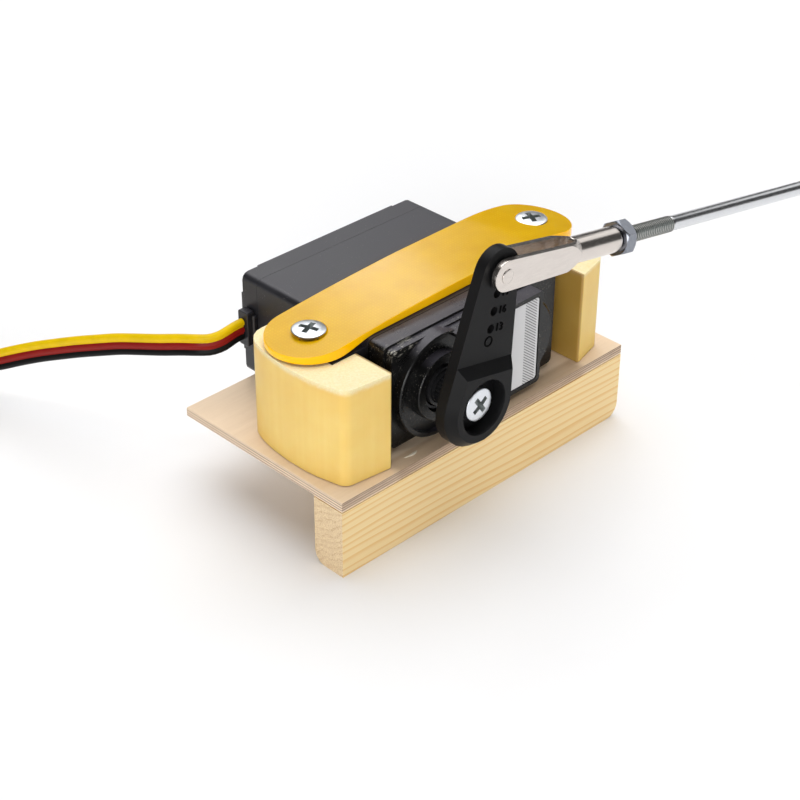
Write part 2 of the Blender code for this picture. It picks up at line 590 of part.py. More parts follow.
def build_bottom_cover():
    """The rear lid: a raised field between four screw recesses, and the notch for the lead."""
    a, b, nick = CASE_LENGTH / 2 - 0.35, CASE_WIDTH / 2 - 0.35, 3.7
    field = [(a, b - nick), (a - nick, b - nick), (a - nick, b), (-a + nick, b), (-a + nick, b - nick),
             (-a, b - nick), (-a, -b + nick), (-a + nick, -b + nick), (-a + nick, -b), (a - nick, -b),
             (a - nick, -b + nick), (a, -b + nick)]
    field = [(CASE_X + x, CASE_Z + z) for x, z in field]
    plate = prism(case_outline(), COVER_SEAM_Y, COVER_REAR_Y)
    bevel_where(plate, lambda p: p.y > COVER_REAR_Y - 1e-3, 0.35, 1)
    pad = prism(field, COVER_REAR_Y - 1.0, COVER_PAD_Y)
    bevel_where(pad, lambda p: p.y > COVER_PAD_Y - 1e-3, 0.4, 1)
    room = prism(cavity_outline(), COVER_SEAM_Y - 1.0, COVER_REAR_Y - 1.1)
    left = CASE_X - CASE_LENGTH / 2
    notch = box((left - 1.0, COVER_SEAM_Y - 1.0, RELIEF_Z - RELIEF_HALF + 0.7),
                (left + 2.0, RELIEF_Y + RELIEF_DEPTH / 2 - 0.2, RELIEF_Z + RELIEF_HALF - 0.7))
    bores = [turned([(CASE_SCREW_R + GAP, COVER_SEAM_Y - 1.0), (CASE_SCREW_R + GAP, COVER_PAD_Y + 1.0)],
                    place, 12) for place in post_places()]
    make("bottom_cover", cut(joined(plate, pad), room, notch, *bores), "case_plastic")


def build_case_screws():
    for number, place in enumerate(post_places(), 1):
        seat = COVER_REAR_Y + GAP
        top = seat + 0.85
        profile = [(CASE_SCREW_R * 0.5, CASE_SCREW_TIP_Y), (CASE_SCREW_R, CASE_SCREW_TIP_Y + 1.0),
                   (CASE_SCREW_R, seat), (CASE_SCREW_HEAD_R, seat), (CASE_SCREW_HEAD_R, top - 0.3),
                   (CASE_SCREW_HEAD_R * 0.7, top)]
        screw = turned(profile, place, 14)
        make(f"case_screw_{number}", cut(screw, cross_recess(place, top, 0.95, 0.5, "XZ", -1)), "steel")


# Gear train, each gear about its own axis


def build_gears(axes):
    """Pinion, two reduction gears on pin A, one on pin B, and the output gear with its shaft."""
    toward, away = 0.0, math.pi
    wheel_gap, output_gap = math.pi / WHEEL_TEETH, math.pi / OUTPUT_TEETH
    bore = circle(GEAR_BORE_R, steps=16)
    (l1_rear, l1_front), (l2_rear, l2_front), (l3_rear, l3_front), (l4_rear, l4_front) = LEVELS

    def compound(name, big, small, rear, shoulder, front):
        rings = [(big, rear), (big, shoulder), (small, shoulder), (small, front)]
        make(name, loft(rings, [[(bore, rear), (bore, front)]]), "gear_nylon", axes[name])

    pinion = pinion_outline(FINE_MODULE, away + math.pi / PINION_TEETH)
    make("motor_pinion", prism(pinion, l1_rear, l1_front, [bore]), "brass", axes["rotor"])
    compound("first_gear", wheel_outline(WHEEL_TEETH, FINE_MODULE, toward),
             pinion_outline(FINE_MODULE, toward), l1_rear, l1_front, l2_front)
    compound("second_gear", wheel_outline(WHEEL_TEETH, FINE_MODULE, away + wheel_gap),
             pinion_outline(FINE_MODULE, away), l2_rear, l2_front, l3_front)
    compound("third_gear", wheel_outline(WHEEL_TEETH, FINE_MODULE, toward + wheel_gap),
             pinion_outline(COARSE_MODULE, away), l3_rear, l3_front, l4_front)

    wheel = wheel_outline(OUTPUT_TEETH, COARSE_MODULE, toward + output_gap)
    stem, seat, spline = circle(STEM_R, steps=24), circle(SEAT_R, steps=32), spline_outline()
    seat_end = COLLAR_FRONT_Y - 0.4
    rings = [(stem, STEM_REAR_Y), (stem, l4_rear), (wheel, l4_rear), (wheel, l4_front), (seat, l4_front),
             (seat, seat_end), (spline, seat_end), (spline, SPLINE_END_Y)]
    socket = circle(STEM_SOCKET_R, steps=16)
    shaft = loft(rings, (), [(socket, STEM_REAR_Y), (socket, STEM_SOCKET_Y)])
    screw_bore = turned([(SCREW_BORE_R, SPLINE_END_Y - 1.0), (SCREW_BORE_R, SCREW_BORE_Y)], (0, 0), 16)
    make("output_gear", cut(shaft, screw_bore), "gear_nylon", axes["output"])


def build_gear_pins():
    for name, x, rear, front in (("gear_pin_a", PIN_A_X, PARTITION_Y + PARTITION_THICK, 0.35),
                                 ("gear_pin_b", PIN_B_X, LEVELS[1][0] - 0.1, 0.75)):
        make(name, turned([(PIN_R, rear), (PIN_R, front)], (x, CASE_Z), 16), "steel")


def ring(inner, outer, from_y, to_y, steps=28):
    return loft([(circle(outer, steps=steps), from_y), (circle(outer, steps=steps), to_y)],
                [[(circle(inner, steps=steps), from_y), (circle(inner, steps=steps), to_y)]])


def build_bearing(axes):
    """Two races with a ball cage between them."""
    low, high = BEARING_Y, BEARING_Y + BEARING_WIDTH
    outer = moved(ring(BEARING_OUTER_R - RACE_THICK, BEARING_OUTER_R, low, high), (OUTPUT_X, 0, CASE_Z))
    make("bearing_outer_race", outer, "steel")
    make("bearing_inner_race", ring(BEARING_INNER_R, BEARING_INNER_R + RACE_THICK, low, high), "steel",
         axes["output"])
    middle = (BEARING_OUTER_R + BEARING_INNER_R) / 2
    cage = ring(middle - 0.22, middle + 0.22, low + 0.6, high - 0.6, 28)
    balls = []
    for k in range(7):
        angle = 2 * math.pi * k / 7
        ball = bmesh.new()
        bmesh.ops.create_icosphere(ball, subdivisions=1, radius=BALL_R)
        place = (middle * math.cos(angle), (low + high) / 2, middle * math.sin(angle))
        balls.append(moved(ball, place))
    make("bearing_cage", joined(cage, *balls), "steel", axes["cage"])


# Motor, sensor and electronics


def build_motor(axes):
    at = (PIN_B_X, CASE_Z)
    shell_r = MOTOR_R - MOTOR_WALL
    can = loft([(circle(MOTOR_R, at, 28), MOTOR_REAR_Y), (circle(MOTOR_R, at, 28), MOTOR_FRONT_Y + 0.6),
                (circle(MOTOR_R - 0.6, at, 28), MOTOR_FRONT_Y), (circle(MOTOR_NOSE_R, at, 28), MOTOR_FRONT_Y),
                (circle(MOTOR_NOSE_R, at, 28), MOTOR_NOSE_Y)],
               [[(circle(shell_r, at, 28), MOTOR_REAR_Y), (circle(shell_r, at, 28), MOTOR_FRONT_Y + MOTOR_WALL),
                 (circle(0.95, at, 28), MOTOR_FRONT_Y + MOTOR_WALL), (circle(0.95, at, 28), MOTOR_NOSE_Y)]])
    make("motor_can", can, "steel")
    bell = [(shell_r - GAP, MOTOR_REAR_Y - 0.2), (shell_r - GAP, MOTOR_REAR_Y + GAP),
            (MOTOR_R, MOTOR_REAR_Y + GAP), (MOTOR_R, MOTOR_REAR_Y + 1.2), (3.0, MOTOR_REAR_Y + 1.2),
            (3.0, MOTOR_REAR_Y + 2.6)]
    bore = circle(0.95, at, 16)
    make("motor_end_bell", loft([(circle(r, at, 28), y) for r, y in bell], (),
                                [(bore, MOTOR_REAR_Y - 0.2), (bore, MOTOR_REAR_Y + 2.1)]), "case_plastic")
    for name, facing in (("motor_magnet_upper", 90.0), ("motor_magnet_lower", 270.0)):
        angles = [math.radians(facing + MAGNET_HALF_ANGLE * (k / 6 - 1)) for k in range(13)]
        arc = [((shell_r - GAP) * math.cos(t), (shell_r - GAP) * math.sin(t)) for t in angles]
        arc += [(MAGNET_INNER_R * math.cos(t), MAGNET_INNER_R * math.sin(t)) for t in reversed(angles)]
        magnet = prism(arc, MAGNET_FROM_Y, MAGNET_TO_Y)
        make(name, moved(magnet, (PIN_B_X, 0, CASE_Z)), "magnet")
    profile = [(PIN_R, LEVELS[0][1] - 0.1), (PIN_R, ARMATURE_FROM_Y), (ARMATURE_R, ARMATURE_FROM_Y),
               (ARMATURE_R, ARMATURE_TO_Y), (COMMUTATOR_R, ARMATURE_TO_Y), (COMMUTATOR_R, COMMUTATOR_TO_Y),
               (PIN_R, COMMUTATOR_TO_Y), (PIN_R, MOTOR_SHAFT_END_Y)]
    rotor = turned(profile, (0, 0), 24)
    slots = [moved(box((ARMATURE_R - 0.9, ARMATURE_FROM_Y - 1, -0.45), (ARMATURE_R + 1, ARMATURE_TO_Y + 1, 0.45)),
                   (0, 0, 0), 120.0 * k) for k in range(3)]
    make("motor_rotor", cut(rotor, *slots), "steel", axes["rotor"])


def build_sensor(axes):
    """The position sensor behind the output shaft: cup, track disc and the wiper on its shaft."""
    at = (OUTPUT_X, CASE_Z)
    wall = POT_R - 0.8
    floor = POT_FRONT_Y + 0.9
    cup = loft([(circle(POT_R, at, 24), POT_REAR_Y), (circle(POT_R, at, 24), POT_FRONT_Y)],
               [[(circle(wall, at, 24), POT_REAR_Y), (circle(wall, at, 24), floor),
                 (circle(POT_SHAFT_R + GAP, at, 24), floor), (circle(POT_SHAFT_R + GAP, at, 24), POT_FRONT_Y)]])
    make("sensor_cup", cup, "case_plastic")
    make("sensor_track", turned([(wall - GAP, POT_REAR_Y - 1.4), (wall - GAP, POT_REAR_Y - 0.2)], at, 24), "brass")
    shaft = turned([(POT_SHAFT_R, STEM_SOCKET_Y + 0.2), (POT_SHAFT_R, floor + 0.5), (wall - 0.6, floor + 0.5),
                    (wall - 0.6, floor + 1.1), (POT_SHAFT_R, floor + 1.1), (POT_SHAFT_R, POT_REAR_Y - 2.0)],
                   (0, 0), 20)
    make("sensor_wiper", shaft, "brass", axes["output"])


def build_electronics():
    nick = 3.6
    left, right = CASE_X + PCB_LEFT, CASE_X + PCB_RIGHT
    low, high = CASE_Z - PCB_HALF, CASE_Z + PCB_HALF
    outline = [(left + nick, low), (right, low), (right, high), (left + nick, high),
               (left, high - nick), (left, low + nick)]
    make("circuit_board", prism(outline, PCB_Y, PCB_Y + PCB_THICK), "board_green")
    front, rear = PCB_Y - GAP, PCB_Y + PCB_THICK + GAP
    chip_x = CASE_X - 9.0
    chip = box((chip_x - 3.5, front - 1.4, CASE_Z - 3.5), (chip_x + 3.5, front, CASE_Z + 3.5))
    make("control_chip", bevel_where(chip, lambda p: p.y < front - 1.3, 0.3, 1), "chip_epoxy")
    for name, z in (("driver_chip_upper", 4.2), ("driver_chip_lower", -4.2)):
        driver = box((chip_x - 2.5, rear, CASE_Z + z - 2.0), (chip_x + 2.5, rear + 1.5, CASE_Z + z + 2.0))
        make(name, bevel_where(driver, lambda p: p.y > rear + 1.4, 0.3, 1), "chip_epoxy")
    can = turned([(1.9, rear), (2.0, rear + 0.6), (1.8, rear + 0.9), (2.0, rear + 1.2), (2.0, rear + 4.6),
                  (1.7, rear + 4.9)], (CASE_X - 2.4, CASE_Z), 20)
    make("smoothing_capacitor", can, "magnet")


# Arm and linkage


def arm_outline(hub=ARM_HUB_R, tip=ARM_TIP_R, steps=14):
    """A hub and a tip circle with their two common tangents, the arm pointing up."""
    lean = math.asin((hub - tip) / ARM_PIN_AT)
    start, sweep = math.pi - lean, math.pi + 2 * lean
    points = [(hub * math.cos(start + sweep * k / steps), hub * math.sin(start + sweep * k / steps))
              for k in range(steps + 1)]
    start, sweep = lean, math.pi - 2 * lean
    points += [(tip * math.cos(start + sweep * k / steps), ARM_PIN_AT + tip * math.sin(start + sweep * k / steps))
               for k in range(steps + 1)]
    return points


def hub_outline(inset, top):
    """The thick lower end of the arm: its own outline, cut off straight across."""
    kept = [(x, z) for x, z in arm_outline(ARM_HUB_R - inset, ARM_TIP_R - inset) if z < top]
    lean = (ARM_HUB_R - ARM_TIP_R) / ARM_PIN_AT
    half = (ARM_HUB_R - inset) - top * lean
    return [(-half, top)] + kept + [(half, top)]


def build_arm(parent):
    """The horn: thin blade, thick hub with a sloping shoulder, splined socket and linkage holes."""
    holes = [circle(ARM_HOLE_R, (0, at), 14) for at in ARM_HOLES_AT]
    holes.append(circle(ARM_PIN_HOLE_R, (0, ARM_PIN_AT), 16))
    blade = prism(arm_outline(), BLADE_FRONT_Y, BLADE_REAR_Y, holes)
    raised = loft([(hub_outline(0.0, HUB_SLOPE_AT), BLADE_FRONT_Y + 1.0),
                   (hub_outline(0.0, HUB_SLOPE_AT), BLADE_FRONT_Y),
                   (hub_outline(HUB_BEVEL, HUB_TOP_AT), HUB_FRONT_Y)])
    back = turned([(SOCKET_R, BLADE_REAR_Y - 1.0), (SOCKET_R, SOCKET_REAR_Y - 0.3), (SOCKET_R - 0.3, SOCKET_REAR_Y)],
                  (0, 0), 32)
    wide = HUB_RECESS_R + HUB_RECESS_EASE
    recess = turned([(wide, HUB_FRONT_Y - 1.0), (wide, HUB_FRONT_Y), (HUB_RECESS_R, HUB_FRONT_Y + 2 * HUB_RECESS_EASE),
                     (HUB_RECESS_R, HUB_RECESS_Y)], (0, 0), 28)
    socket = prism(spline_outline(GAP), SPLINE_END_Y - 0.05, SOCKET_REAR_Y + 1.0)
    shank_r = ARM_SCREW_R + 0.2
    through = turned([(shank_r, HUB_RECESS_Y - 1.0), (shank_r, SOCKET_REAR_Y + 1.0)], (0, 0), 20)
    make("servo_arm", cut(joined(blade, raised, back), recess, socket, through), "arm_plastic", parent)


def build_arm_screw(parent):
    seat, top = HUB_RECESS_Y - GAP, ARM_SCREW_FRONT_Y
    profile = [(ARM_SCREW_R * 0.6, SCREW_BORE_Y - 0.4), (ARM_SCREW_R, SCREW_BORE_Y - 1.2), (ARM_SCREW_R, seat),
               (ARM_SCREW_HEAD_R, seat), (ARM_SCREW_HEAD_R, top + 0.55), (ARM_SCREW_HEAD_R * 0.86, top + 0.16),
               (ARM_SCREW_HEAD_R * 0.5, top)]
    screw = turned(profile, (0, 0), 26)
    make("arm_screw", cut(screw, cross_recess((0, 0), top, 1.7, 1.0, "XZ", 1)), "zinc", parent)


def build_clevis(parent):
    """A folded steel fork: flat tapering legs, a rounded shoulder and a barrel threaded for the rod."""
    nose = [math.radians(90 + 180 * k / 12) for k in range(13)]
    side = [(CLEVIS_NOSE_R * math.cos(t), CLEVIS_NOSE_R * math.sin(t)) for t in nose]
    side += [(CLEVIS_LEG, -CLEVIS_ROOT_HALF), (CLEVIS_SHOULDER + 1.0, -CLEVIS_ROOT_HALF),
             (CLEVIS_SHOULDER + 1.0, CLEVIS_ROOT_HALF), (CLEVIS_LEG, CLEVIS_ROOT_HALF)]
    w, s, nose_x = CLEVIS_HALF_WIDTH, CLEVIS_SLOT, -CLEVIS_NOSE_R - 1.0
    root = BARREL_R - CLEVIS_ROOT_EASE
    throat = [math.radians(90 - 180 * k / 8) for k in range(9)]
    plan = [(nose_x, -w), (CLEVIS_LEG - 2.0, -w), (CLEVIS_SHOULDER, -root), (CLEVIS_SHOULDER + 1.0, -root),
            (CLEVIS_SHOULDER + 1.0, root), (CLEVIS_SHOULDER, root), (CLEVIS_LEG - 2.0, w), (nose_x, w), (nose_x, s)]
    plan += [(CLEVIS_THROAT + 1.2 * math.cos(t), s * math.sin(t)) for t in throat]
    plan += [(nose_x, -s)]
    fork = common(prism(side, -w - 1.0, w + 1.0), prism(plan, nose_x, -nose_x, (), "XY"))
    barrel = turned([(root, CLEVIS_SHOULDER - 1.2), (BARREL_R, CLEVIS_SHOULDER - 0.9),
                     (BARREL_R, CLEVIS_END - 0.3), (BARREL_R - 0.3, CLEVIS_END)], (0, 0), 28, "YZ")
    bore_r = THREAD_R + ROD_BORE_GAP
    bore = turned([(bore_r, ROD_IN - 0.4), (bore_r, CLEVIS_END + 1.0)], (0, 0), 20, "YZ")
    eye = turned([(CLEVIS_PIN_R + 0.12, -w - 1.0), (CLEVIS_PIN_R + 0.12, w + 1.0)], (0, 0), 16)
    make("clevis", cut(joined(fork, barrel), bore, eye), "nickel", parent)


def build_linkage(parent):
    """Pin, lock nut and pushrod, with the rod's thread left plain."""
    w = CLEVIS_HALF_WIDTH
    pin = [(CLEVIS_PIN_HEAD_R * 0.6, -w - CLEVIS_PIN_PROUD - GAP), (CLEVIS_PIN_HEAD_R, -w - CLEVIS_PIN_PROUD),
           (CLEVIS_PIN_HEAD_R, -w - GAP), (CLEVIS_PIN_R, -w - GAP), (CLEVIS_PIN_R, w + 0.2),
           (CLEVIS_PIN_R * 0.7, w + 0.4)]
    make("clevis_pin", turned(pin, (0, 0), 20), "nickel", parent)
    corner = NUT_FLATS / 2 / math.cos(math.pi / 6)
    hexagon = prism(circle(corner, (0, 0), 6, math.pi / 6), NUT_FROM, NUT_TO, (), "YZ")
    trim = turned([(corner * 0.86, NUT_FROM - 0.01), (corner * 1.02, NUT_FROM + 0.5), (corner * 1.02, NUT_TO - 0.5),
                   (corner * 0.86, NUT_TO + 0.01)], (0, 0), 36, "YZ")
    hole_r = THREAD_R + ROD_BORE_GAP
    hole = turned([(hole_r, NUT_FROM - 1.0), (hole_r, NUT_TO + 1.0)], (0, 0), 20, "YZ")
    make("lock_nut", cut(common(hexagon, trim), hole), "zinc", parent, 20.0)
    rod = [(THREAD_R - 0.3, ROD_IN), (THREAD_R, ROD_IN + 0.3), (THREAD_R, THREAD_TO - 0.4), (ROD_R, THREAD_TO),
           (ROD_R, ROD_TO - 0.3), (ROD_R - 0.3, ROD_TO)]
    make("pushrod", turned(rod, (0, 0), 20, "YZ"), "steel", parent)


# Lead


def wire_section():
    """Three touching wires in cross-section, as (across, up) from the middle of the ribbon."""
    points = []
    for side in (1, -1):
        for wire, angles in ((-side, (-80, -25, 30)), (0, (-30, 30)), (side, (-30, 25, 80))):
            for angle in angles:
                t = math.radians(angle)
                points.append((side * WIRE_R * math.cos(t), wire * WIRE_PITCH + side * WIRE_R * math.sin(t)))
    return points


def smooth_route(points, step):
    """Points at an even step along a Catmull-Rom curve through a route."""
    path = [Vector(p) for p in points]
    ends = [path[0] * 2 - path[1]] + path + [path[-1] * 2 - path[-2]]
    fine = []
    for a, b, c, d in zip(ends, ends[1:], ends[2:], ends[3:]):
        for k in range(20):
            t = k / 20
            fine.append(0.5 * (2 * b + (c - a) * t + (2 * a - 5 * b + 4 * c - d) * t * t
                               + (3 * b - a - 3 * c + d) * t ** 3))
    fine.append(path[-1])
    lengths = [0.0]
    for a, b in zip(fine, fine[1:]):
        lengths.append(lengths[-1] + (b - a).length)
    count = round(lengths[-1] / step)
    out, at = [], 0
    for k in range(count + 1):
        want = lengths[-1] * k / count
        while at < len(fine) - 2 and lengths[at + 1] < want:
            at += 1
        share = (want - lengths[at]) / (lengths[at + 1] - lengths[at])
        out.append(fine[at].lerp(fine[at + 1], min(1.0, share)))
    return out


def ribbon(path, start, end):
    """The three-wire section swept on edge along a path, square at both ends to given directions."""
    bm = bmesh.new()
    loops = []
    middle = [(b - a).normalized() for a, b in zip(path, path[2:])]
    for point, tangent in zip(path, [Vector(start), *middle, Vector(end)]):
        across = tangent.cross(Vector((0, 0, 1))).normalized()
        up = across.cross(tangent)
        loops.append(closed_loop(bm, [point + across * a + up * b for a, b in wire_section()]))
    wall(bm, loops)
    fill(bm, loops[0])
    fill(bm, loops[-1])
    return bm


def coil_path():
    """The stored length: a flat spiral inwards, then a curl across the middle to the plug."""
    cx, cy = COIL_CENTRE
    path = [Vector((cx + COIL_OUTER_R, cy, COIL_Z))]
    path[0].y += 0.3
    steps = round(COIL_LOOP_POINTS * COIL_TURNS)
    for k in range(1, steps + 1):
        angle = 2 * math.pi * k / COIL_LOOP_POINTS
        radius = COIL_OUTER_R - COIL_PITCH * k / COIL_LOOP_POINTS
        path.append(Vector((cx + radius * math.cos(angle), cy + radius * math.sin(angle), COIL_Z)))
    start = path[-1]
    curl_centre = start + Vector((CURL_R, 0, 0))
    for k in range(1, CURL_POINTS + 1):
        angle = math.pi + math.pi / 2 * k / CURL_POINTS
        rise = (PLUG_Z - COIL_Z) * (1 - math.cos(math.pi * k / CURL_POINTS)) / 2
        path.append(curl_centre + Vector((CURL_R * math.cos(angle), CURL_R * math.sin(angle), rise)))
    path.append(path[-1] + Vector((COIL_TAIL, 0, 0)))
    return path


def least_gap(path, thick):
    """The least gap between stretches of a path that are not neighbours, measured on its segments."""
    least = math.inf
    apart = COIL_LOOP_POINTS // 2
    for i, point in enumerate(path):
        for j in range(i + apart, len(path) - 1):
            a, b = path[j], path[j + 1]
            share = max(0.0, min(1.0, (point - a).dot(b - a) / (b - a).length_squared))
            least = min(least, (point - a.lerp(b, share)).length - thick)
    return least


def build_strain_relief():
    """A collar on the case's end wall that holds the lead in the cover's notch."""
    outer = CASE_X - CASE_LENGTH / 2
    half = Vector((RELIEF_DEPTH / 2, RELIEF_HALF))
    low, high = RELIEF_Y - half.x, RELIEF_Y + half.x
    flat = rectangle((low, RELIEF_Z - half.y), (high, RELIEF_Z + half.y))
    neck = rectangle((COVER_SEAM_Y + GAP, RELIEF_Z - half.y + 0.9), (high - 0.4, RELIEF_Z + half.y - 0.9))
    collar = loft([(rounded(flat, [0.4] * 4, 2), outer - GAP), (rounded(flat, [0.4] * 4, 2), outer - RELIEF_OUT)],
                  (), None, "YZ")
    tongue = prism(neck, outer - 0.6, outer + 2.2, (), "YZ")
    make("strain_relief", joined(collar, tongue), "case_plastic")


def build_lead():
    free = smooth_route(LEAD_ROUTE, LEAD_STEP)
    make("servo_lead", ribbon(free, (-1, 0, 0), (0, 1, 0)), "lead_pvc", None, 60.0)
    coil = coil_path()
    make("lead_coil", ribbon(coil, (0, 1, 0), (1, 0, 0)), "lead_pvc", None, 60.0)
    length = sum((b - a).length for path in (free, coil) for a, b in zip(path, path[1:]))
    print(f"lead length {length:.1f} mm, least gap of the coil to itself {least_gap(coil, 2 * WIRE_R):.2f} mm")
    return coil[-1]


def build_tie():
    """A nylon band round both turns of the coil, with its small head outside."""
    angle = math.radians(TIE_ANGLE)
    outer = COIL_OUTER_R - COIL_PITCH * TIE_ANGLE / 360 + WIRE_R + TIE_CLEAR
    inner = COIL_OUTER_R - COIL_PITCH * (1 + TIE_ANGLE / 360) - WIRE_R - 2.5 * TIE_CLEAR
    low = COIL_Z - WIRE_PITCH - WIRE_R - TIE_CLEAR
    high = COIL_Z + WIRE_PITCH + WIRE_R + TIE_CLEAR
    hole = rectangle((inner, low), (outer, high))
    band = rectangle((inner - TIE_WALL, low - TIE_WALL), (outer + TIE_WALL, high + TIE_WALL))
    band = prism(rounded(band, [0.45] * 4, 2), -TIE_WIDTH / 2, TIE_WIDTH / 2, [rounded(hole, [0.2] * 4, 2)])
    head = box((outer + TIE_WALL - 0.2, -TIE_WIDTH / 2 - 0.6, low + 0.8),
               (outer + 2.4, TIE_WIDTH / 2 + 0.6, high - 0.4))
    tie = moved(joined(band, head), (*COIL_CENTRE, 0.0), math.degrees(angle), "Z")
    make("lead_tie", tie, "tie_nylon")


def build_plug(end):
    """The three-way plug that the lead ends in, standing on its edge, with a contact in each way."""
    start = end.x + 0.3
    half_y, half_z = PLUG_THICK / 2, PLUG_HEIGHT / 2
    low, high = (end.y - half_y, end.z - half_z), (end.y + half_y, end.z + half_z)
    housing = prism(rounded(rectangle(low, high), [0.3] * 4, 1), start, start + PLUG_LENGTH, (), "YZ")
    ways = []
    for way in (-1, 0, 1):
        z = end.z + way * PLUG_PITCH
        ways.append(box((start + 4.0, end.y - 0.8, z - 0.85), (start + PLUG_LENGTH + 1.0, end.y + 0.8, z + 0.85)))
        ways.append(box((start + 3.0, end.y + half_y - 0.35, z - 0.6),
                        (start + 6.5, end.y + half_y + 1.0, z + 0.6)))
    make("plug_housing", cut(housing, *ways), "case_plastic")
    for way, name in ((-1, "plug_contact_lower"), (0, "plug_contact_middle"), (1, "plug_contact_upper")):
        z = end.z + way * PLUG_PITCH
        outline = rectangle((end.y - 0.6, z - 0.6), (end.y + 0.6, z + 0.6))
        bore = rectangle((end.y - 0.35, z - 0.35), (end.y + 0.35, z + 0.35))
        make(name, prism(outline, start + 4.5, start + PLUG_LENGTH - 0.6, [bore], "YZ"), "brass")


def build():
    clear_scene()
    build_board_and_rail()
    build_block("left_block", LEFT_BLOCK_INNER, -1, LEFT_BLOCK_TOP, -1.85, -0.75, STRAP_SCREW_LEFT)
    build_block("right_block", RIGHT_BLOCK_INNER, 1, RIGHT_BLOCK_TOP, -1.95, 0.05, STRAP_SCREW_RIGHT)
    build_strap()
    build_strap_screw("strap_screw_left", STRAP_SCREW_LEFT, LEFT_SCREW_PROUD)
    build_strap_screw("strap_screw_right", STRAP_SCREW_RIGHT, RIGHT_SCREW_PROUD)

    build_gear_case()
    build_middle_case()
    build_bottom_cover()
    build_case_screws()

    axes = {
        "output": axis_empty("output_axis", (OUTPUT_X, 0, CASE_Z)),
        "cage": axis_empty("cage_axis", (OUTPUT_X, 0, CASE_Z)),
        "third_gear": axis_empty("third_gear_axis", (PIN_A_X, 0, CASE_Z)),
        "second_gear": axis_empty("second_gear_axis", (PIN_B_X, 0, CASE_Z)),
        "first_gear": axis_empty("first_gear_axis", (PIN_A_X, 0, CASE_Z)),
        "rotor": axis_empty("rotor_axis", (PIN_B_X, 0, CASE_Z)),
    }
    build_gears(axes)
    build_gear_pins()
    build_bearing(axes)
    build_motor(axes)
    build_sensor(axes)
    build_electronics()

    arm_axis = axis_empty("arm_axis", (0, 0, 0), axes["output"], ARM_TILT)
    build_arm(arm_axis)
    build_arm_screw(arm_axis)
    tilt = math.radians(ARM_TILT)
    pin = (OUTPUT_X + ARM_PIN_AT * math.sin(tilt), (BLADE_FRONT_Y + BLADE_REAR_Y) / 2,
           CASE_Z + ARM_PIN_AT * math.cos(tilt))
    clevis_axis = axis_empty("clevis_axis", pin, None, ROD_FALL)
    build_clevis(clevis_axis)
    build_linkage(clevis_axis)

    build_strain_relief()
    end = build_lead()
    build_tie()
    build_plug(end)


build()
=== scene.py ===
import json
import math

import bmesh
import bpy
from mathutils import Matrix, Vector


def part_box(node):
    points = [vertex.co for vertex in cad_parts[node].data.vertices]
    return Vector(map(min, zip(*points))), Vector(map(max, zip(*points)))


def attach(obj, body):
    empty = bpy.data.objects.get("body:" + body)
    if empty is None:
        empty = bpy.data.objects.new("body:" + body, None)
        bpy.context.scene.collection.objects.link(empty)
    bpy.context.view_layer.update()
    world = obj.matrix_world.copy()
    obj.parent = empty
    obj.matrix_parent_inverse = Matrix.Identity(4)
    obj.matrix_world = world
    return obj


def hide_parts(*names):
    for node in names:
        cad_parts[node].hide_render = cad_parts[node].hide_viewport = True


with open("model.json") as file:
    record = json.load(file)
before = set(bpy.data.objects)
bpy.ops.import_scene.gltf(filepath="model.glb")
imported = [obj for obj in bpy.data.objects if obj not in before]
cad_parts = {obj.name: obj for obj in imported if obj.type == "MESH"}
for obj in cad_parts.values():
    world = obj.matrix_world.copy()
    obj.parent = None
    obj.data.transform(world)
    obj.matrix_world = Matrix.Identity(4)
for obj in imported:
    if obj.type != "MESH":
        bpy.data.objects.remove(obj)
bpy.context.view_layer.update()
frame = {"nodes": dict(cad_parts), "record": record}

MM, MM_PER_M = 0.001, 1000

# Distances within which points count as one, in millimetres
NEAR, THREAD_NEAR, FINAL_NEAR, SLIVER = 1e-4, 1e-3, 3e-3, 1e-3

# In degrees: the turn within which faces count as flat, and the sharp angle below which shading is evened
FLAT_WITHIN, EVENED_BELOW = 1.0, 40.0

# The photograph's camera, in degrees and millimetres
VIEW_TURN, VIEW_RISE, VIEW_ROLL = -44.934, 33.157, 0.364
VIEW_TARGET, VIEW_DISTANCE = Vector((-6.747, 11.464, 14.66)), 309.811
VIEW_LENS, VIEW_SENSOR, VIEW_NEAR = 82.405, 36.0, 10.0

# Lead: three wires side by side on edge, along the route that the CAD solids follow
WIRE_R, WIRE_PITCH = 0.675, 1.35
LEAD_ROUTE = (
    (-21.3, 34.7, 24.8), (-22.6, 34.7, 24.8), (-24.1, 34.8, 24.5), (-25.6, 35.2, 23.95),
    (-27.3, 36.1, 23.6), (-28.8, 37.6, 23.5), (-30.2, 40.5, 22.9), (-31.6, 44.3, 21.8),
    (-33.0, 48.3, 20.75), (-34.4, 52.2, 19.7), (-35.8, 56.2, 18.3), (-37.2, 60.3, 16.8),
    (-38.6, 64.5, 15.1), (-40.1, 68.8, 13.3), (-41.7, 73.1, 11.3), (-43.3, 77.5, 9.1),
    (-44.9, 82.2, 6.9), (-46.3, 87.0, 5.05), (-47.2, 91.8, 3.7), (-47.65, 96.4, 2.85),
    (-47.7, 99.4, 2.65), (-47.7, 101.3, 2.65),
)
COIL_CENTRE, COIL_Z = Vector((-70.7, 101.3)), 2.65
COIL_OUTER_R, COIL_PITCH, COIL_TURNS = 23.0, 2.0, 1.5
CURL_R, COIL_TAIL, PLUG_Z = 10.0, 4.5, 4.05
LOOP_POINTS, CURL_POINTS, SPAN_POINTS, LEAD_STEP = 48, 12, 20, 0.8

# Angles round the first, middle and last wire on one side of the lead, as far as the grooves between them
WIRE_ARCS = ((-90, -60, -30, 0, 30, 58), (-58, -30, 0, 30, 58), (-58, -30, 0, 30, 60))

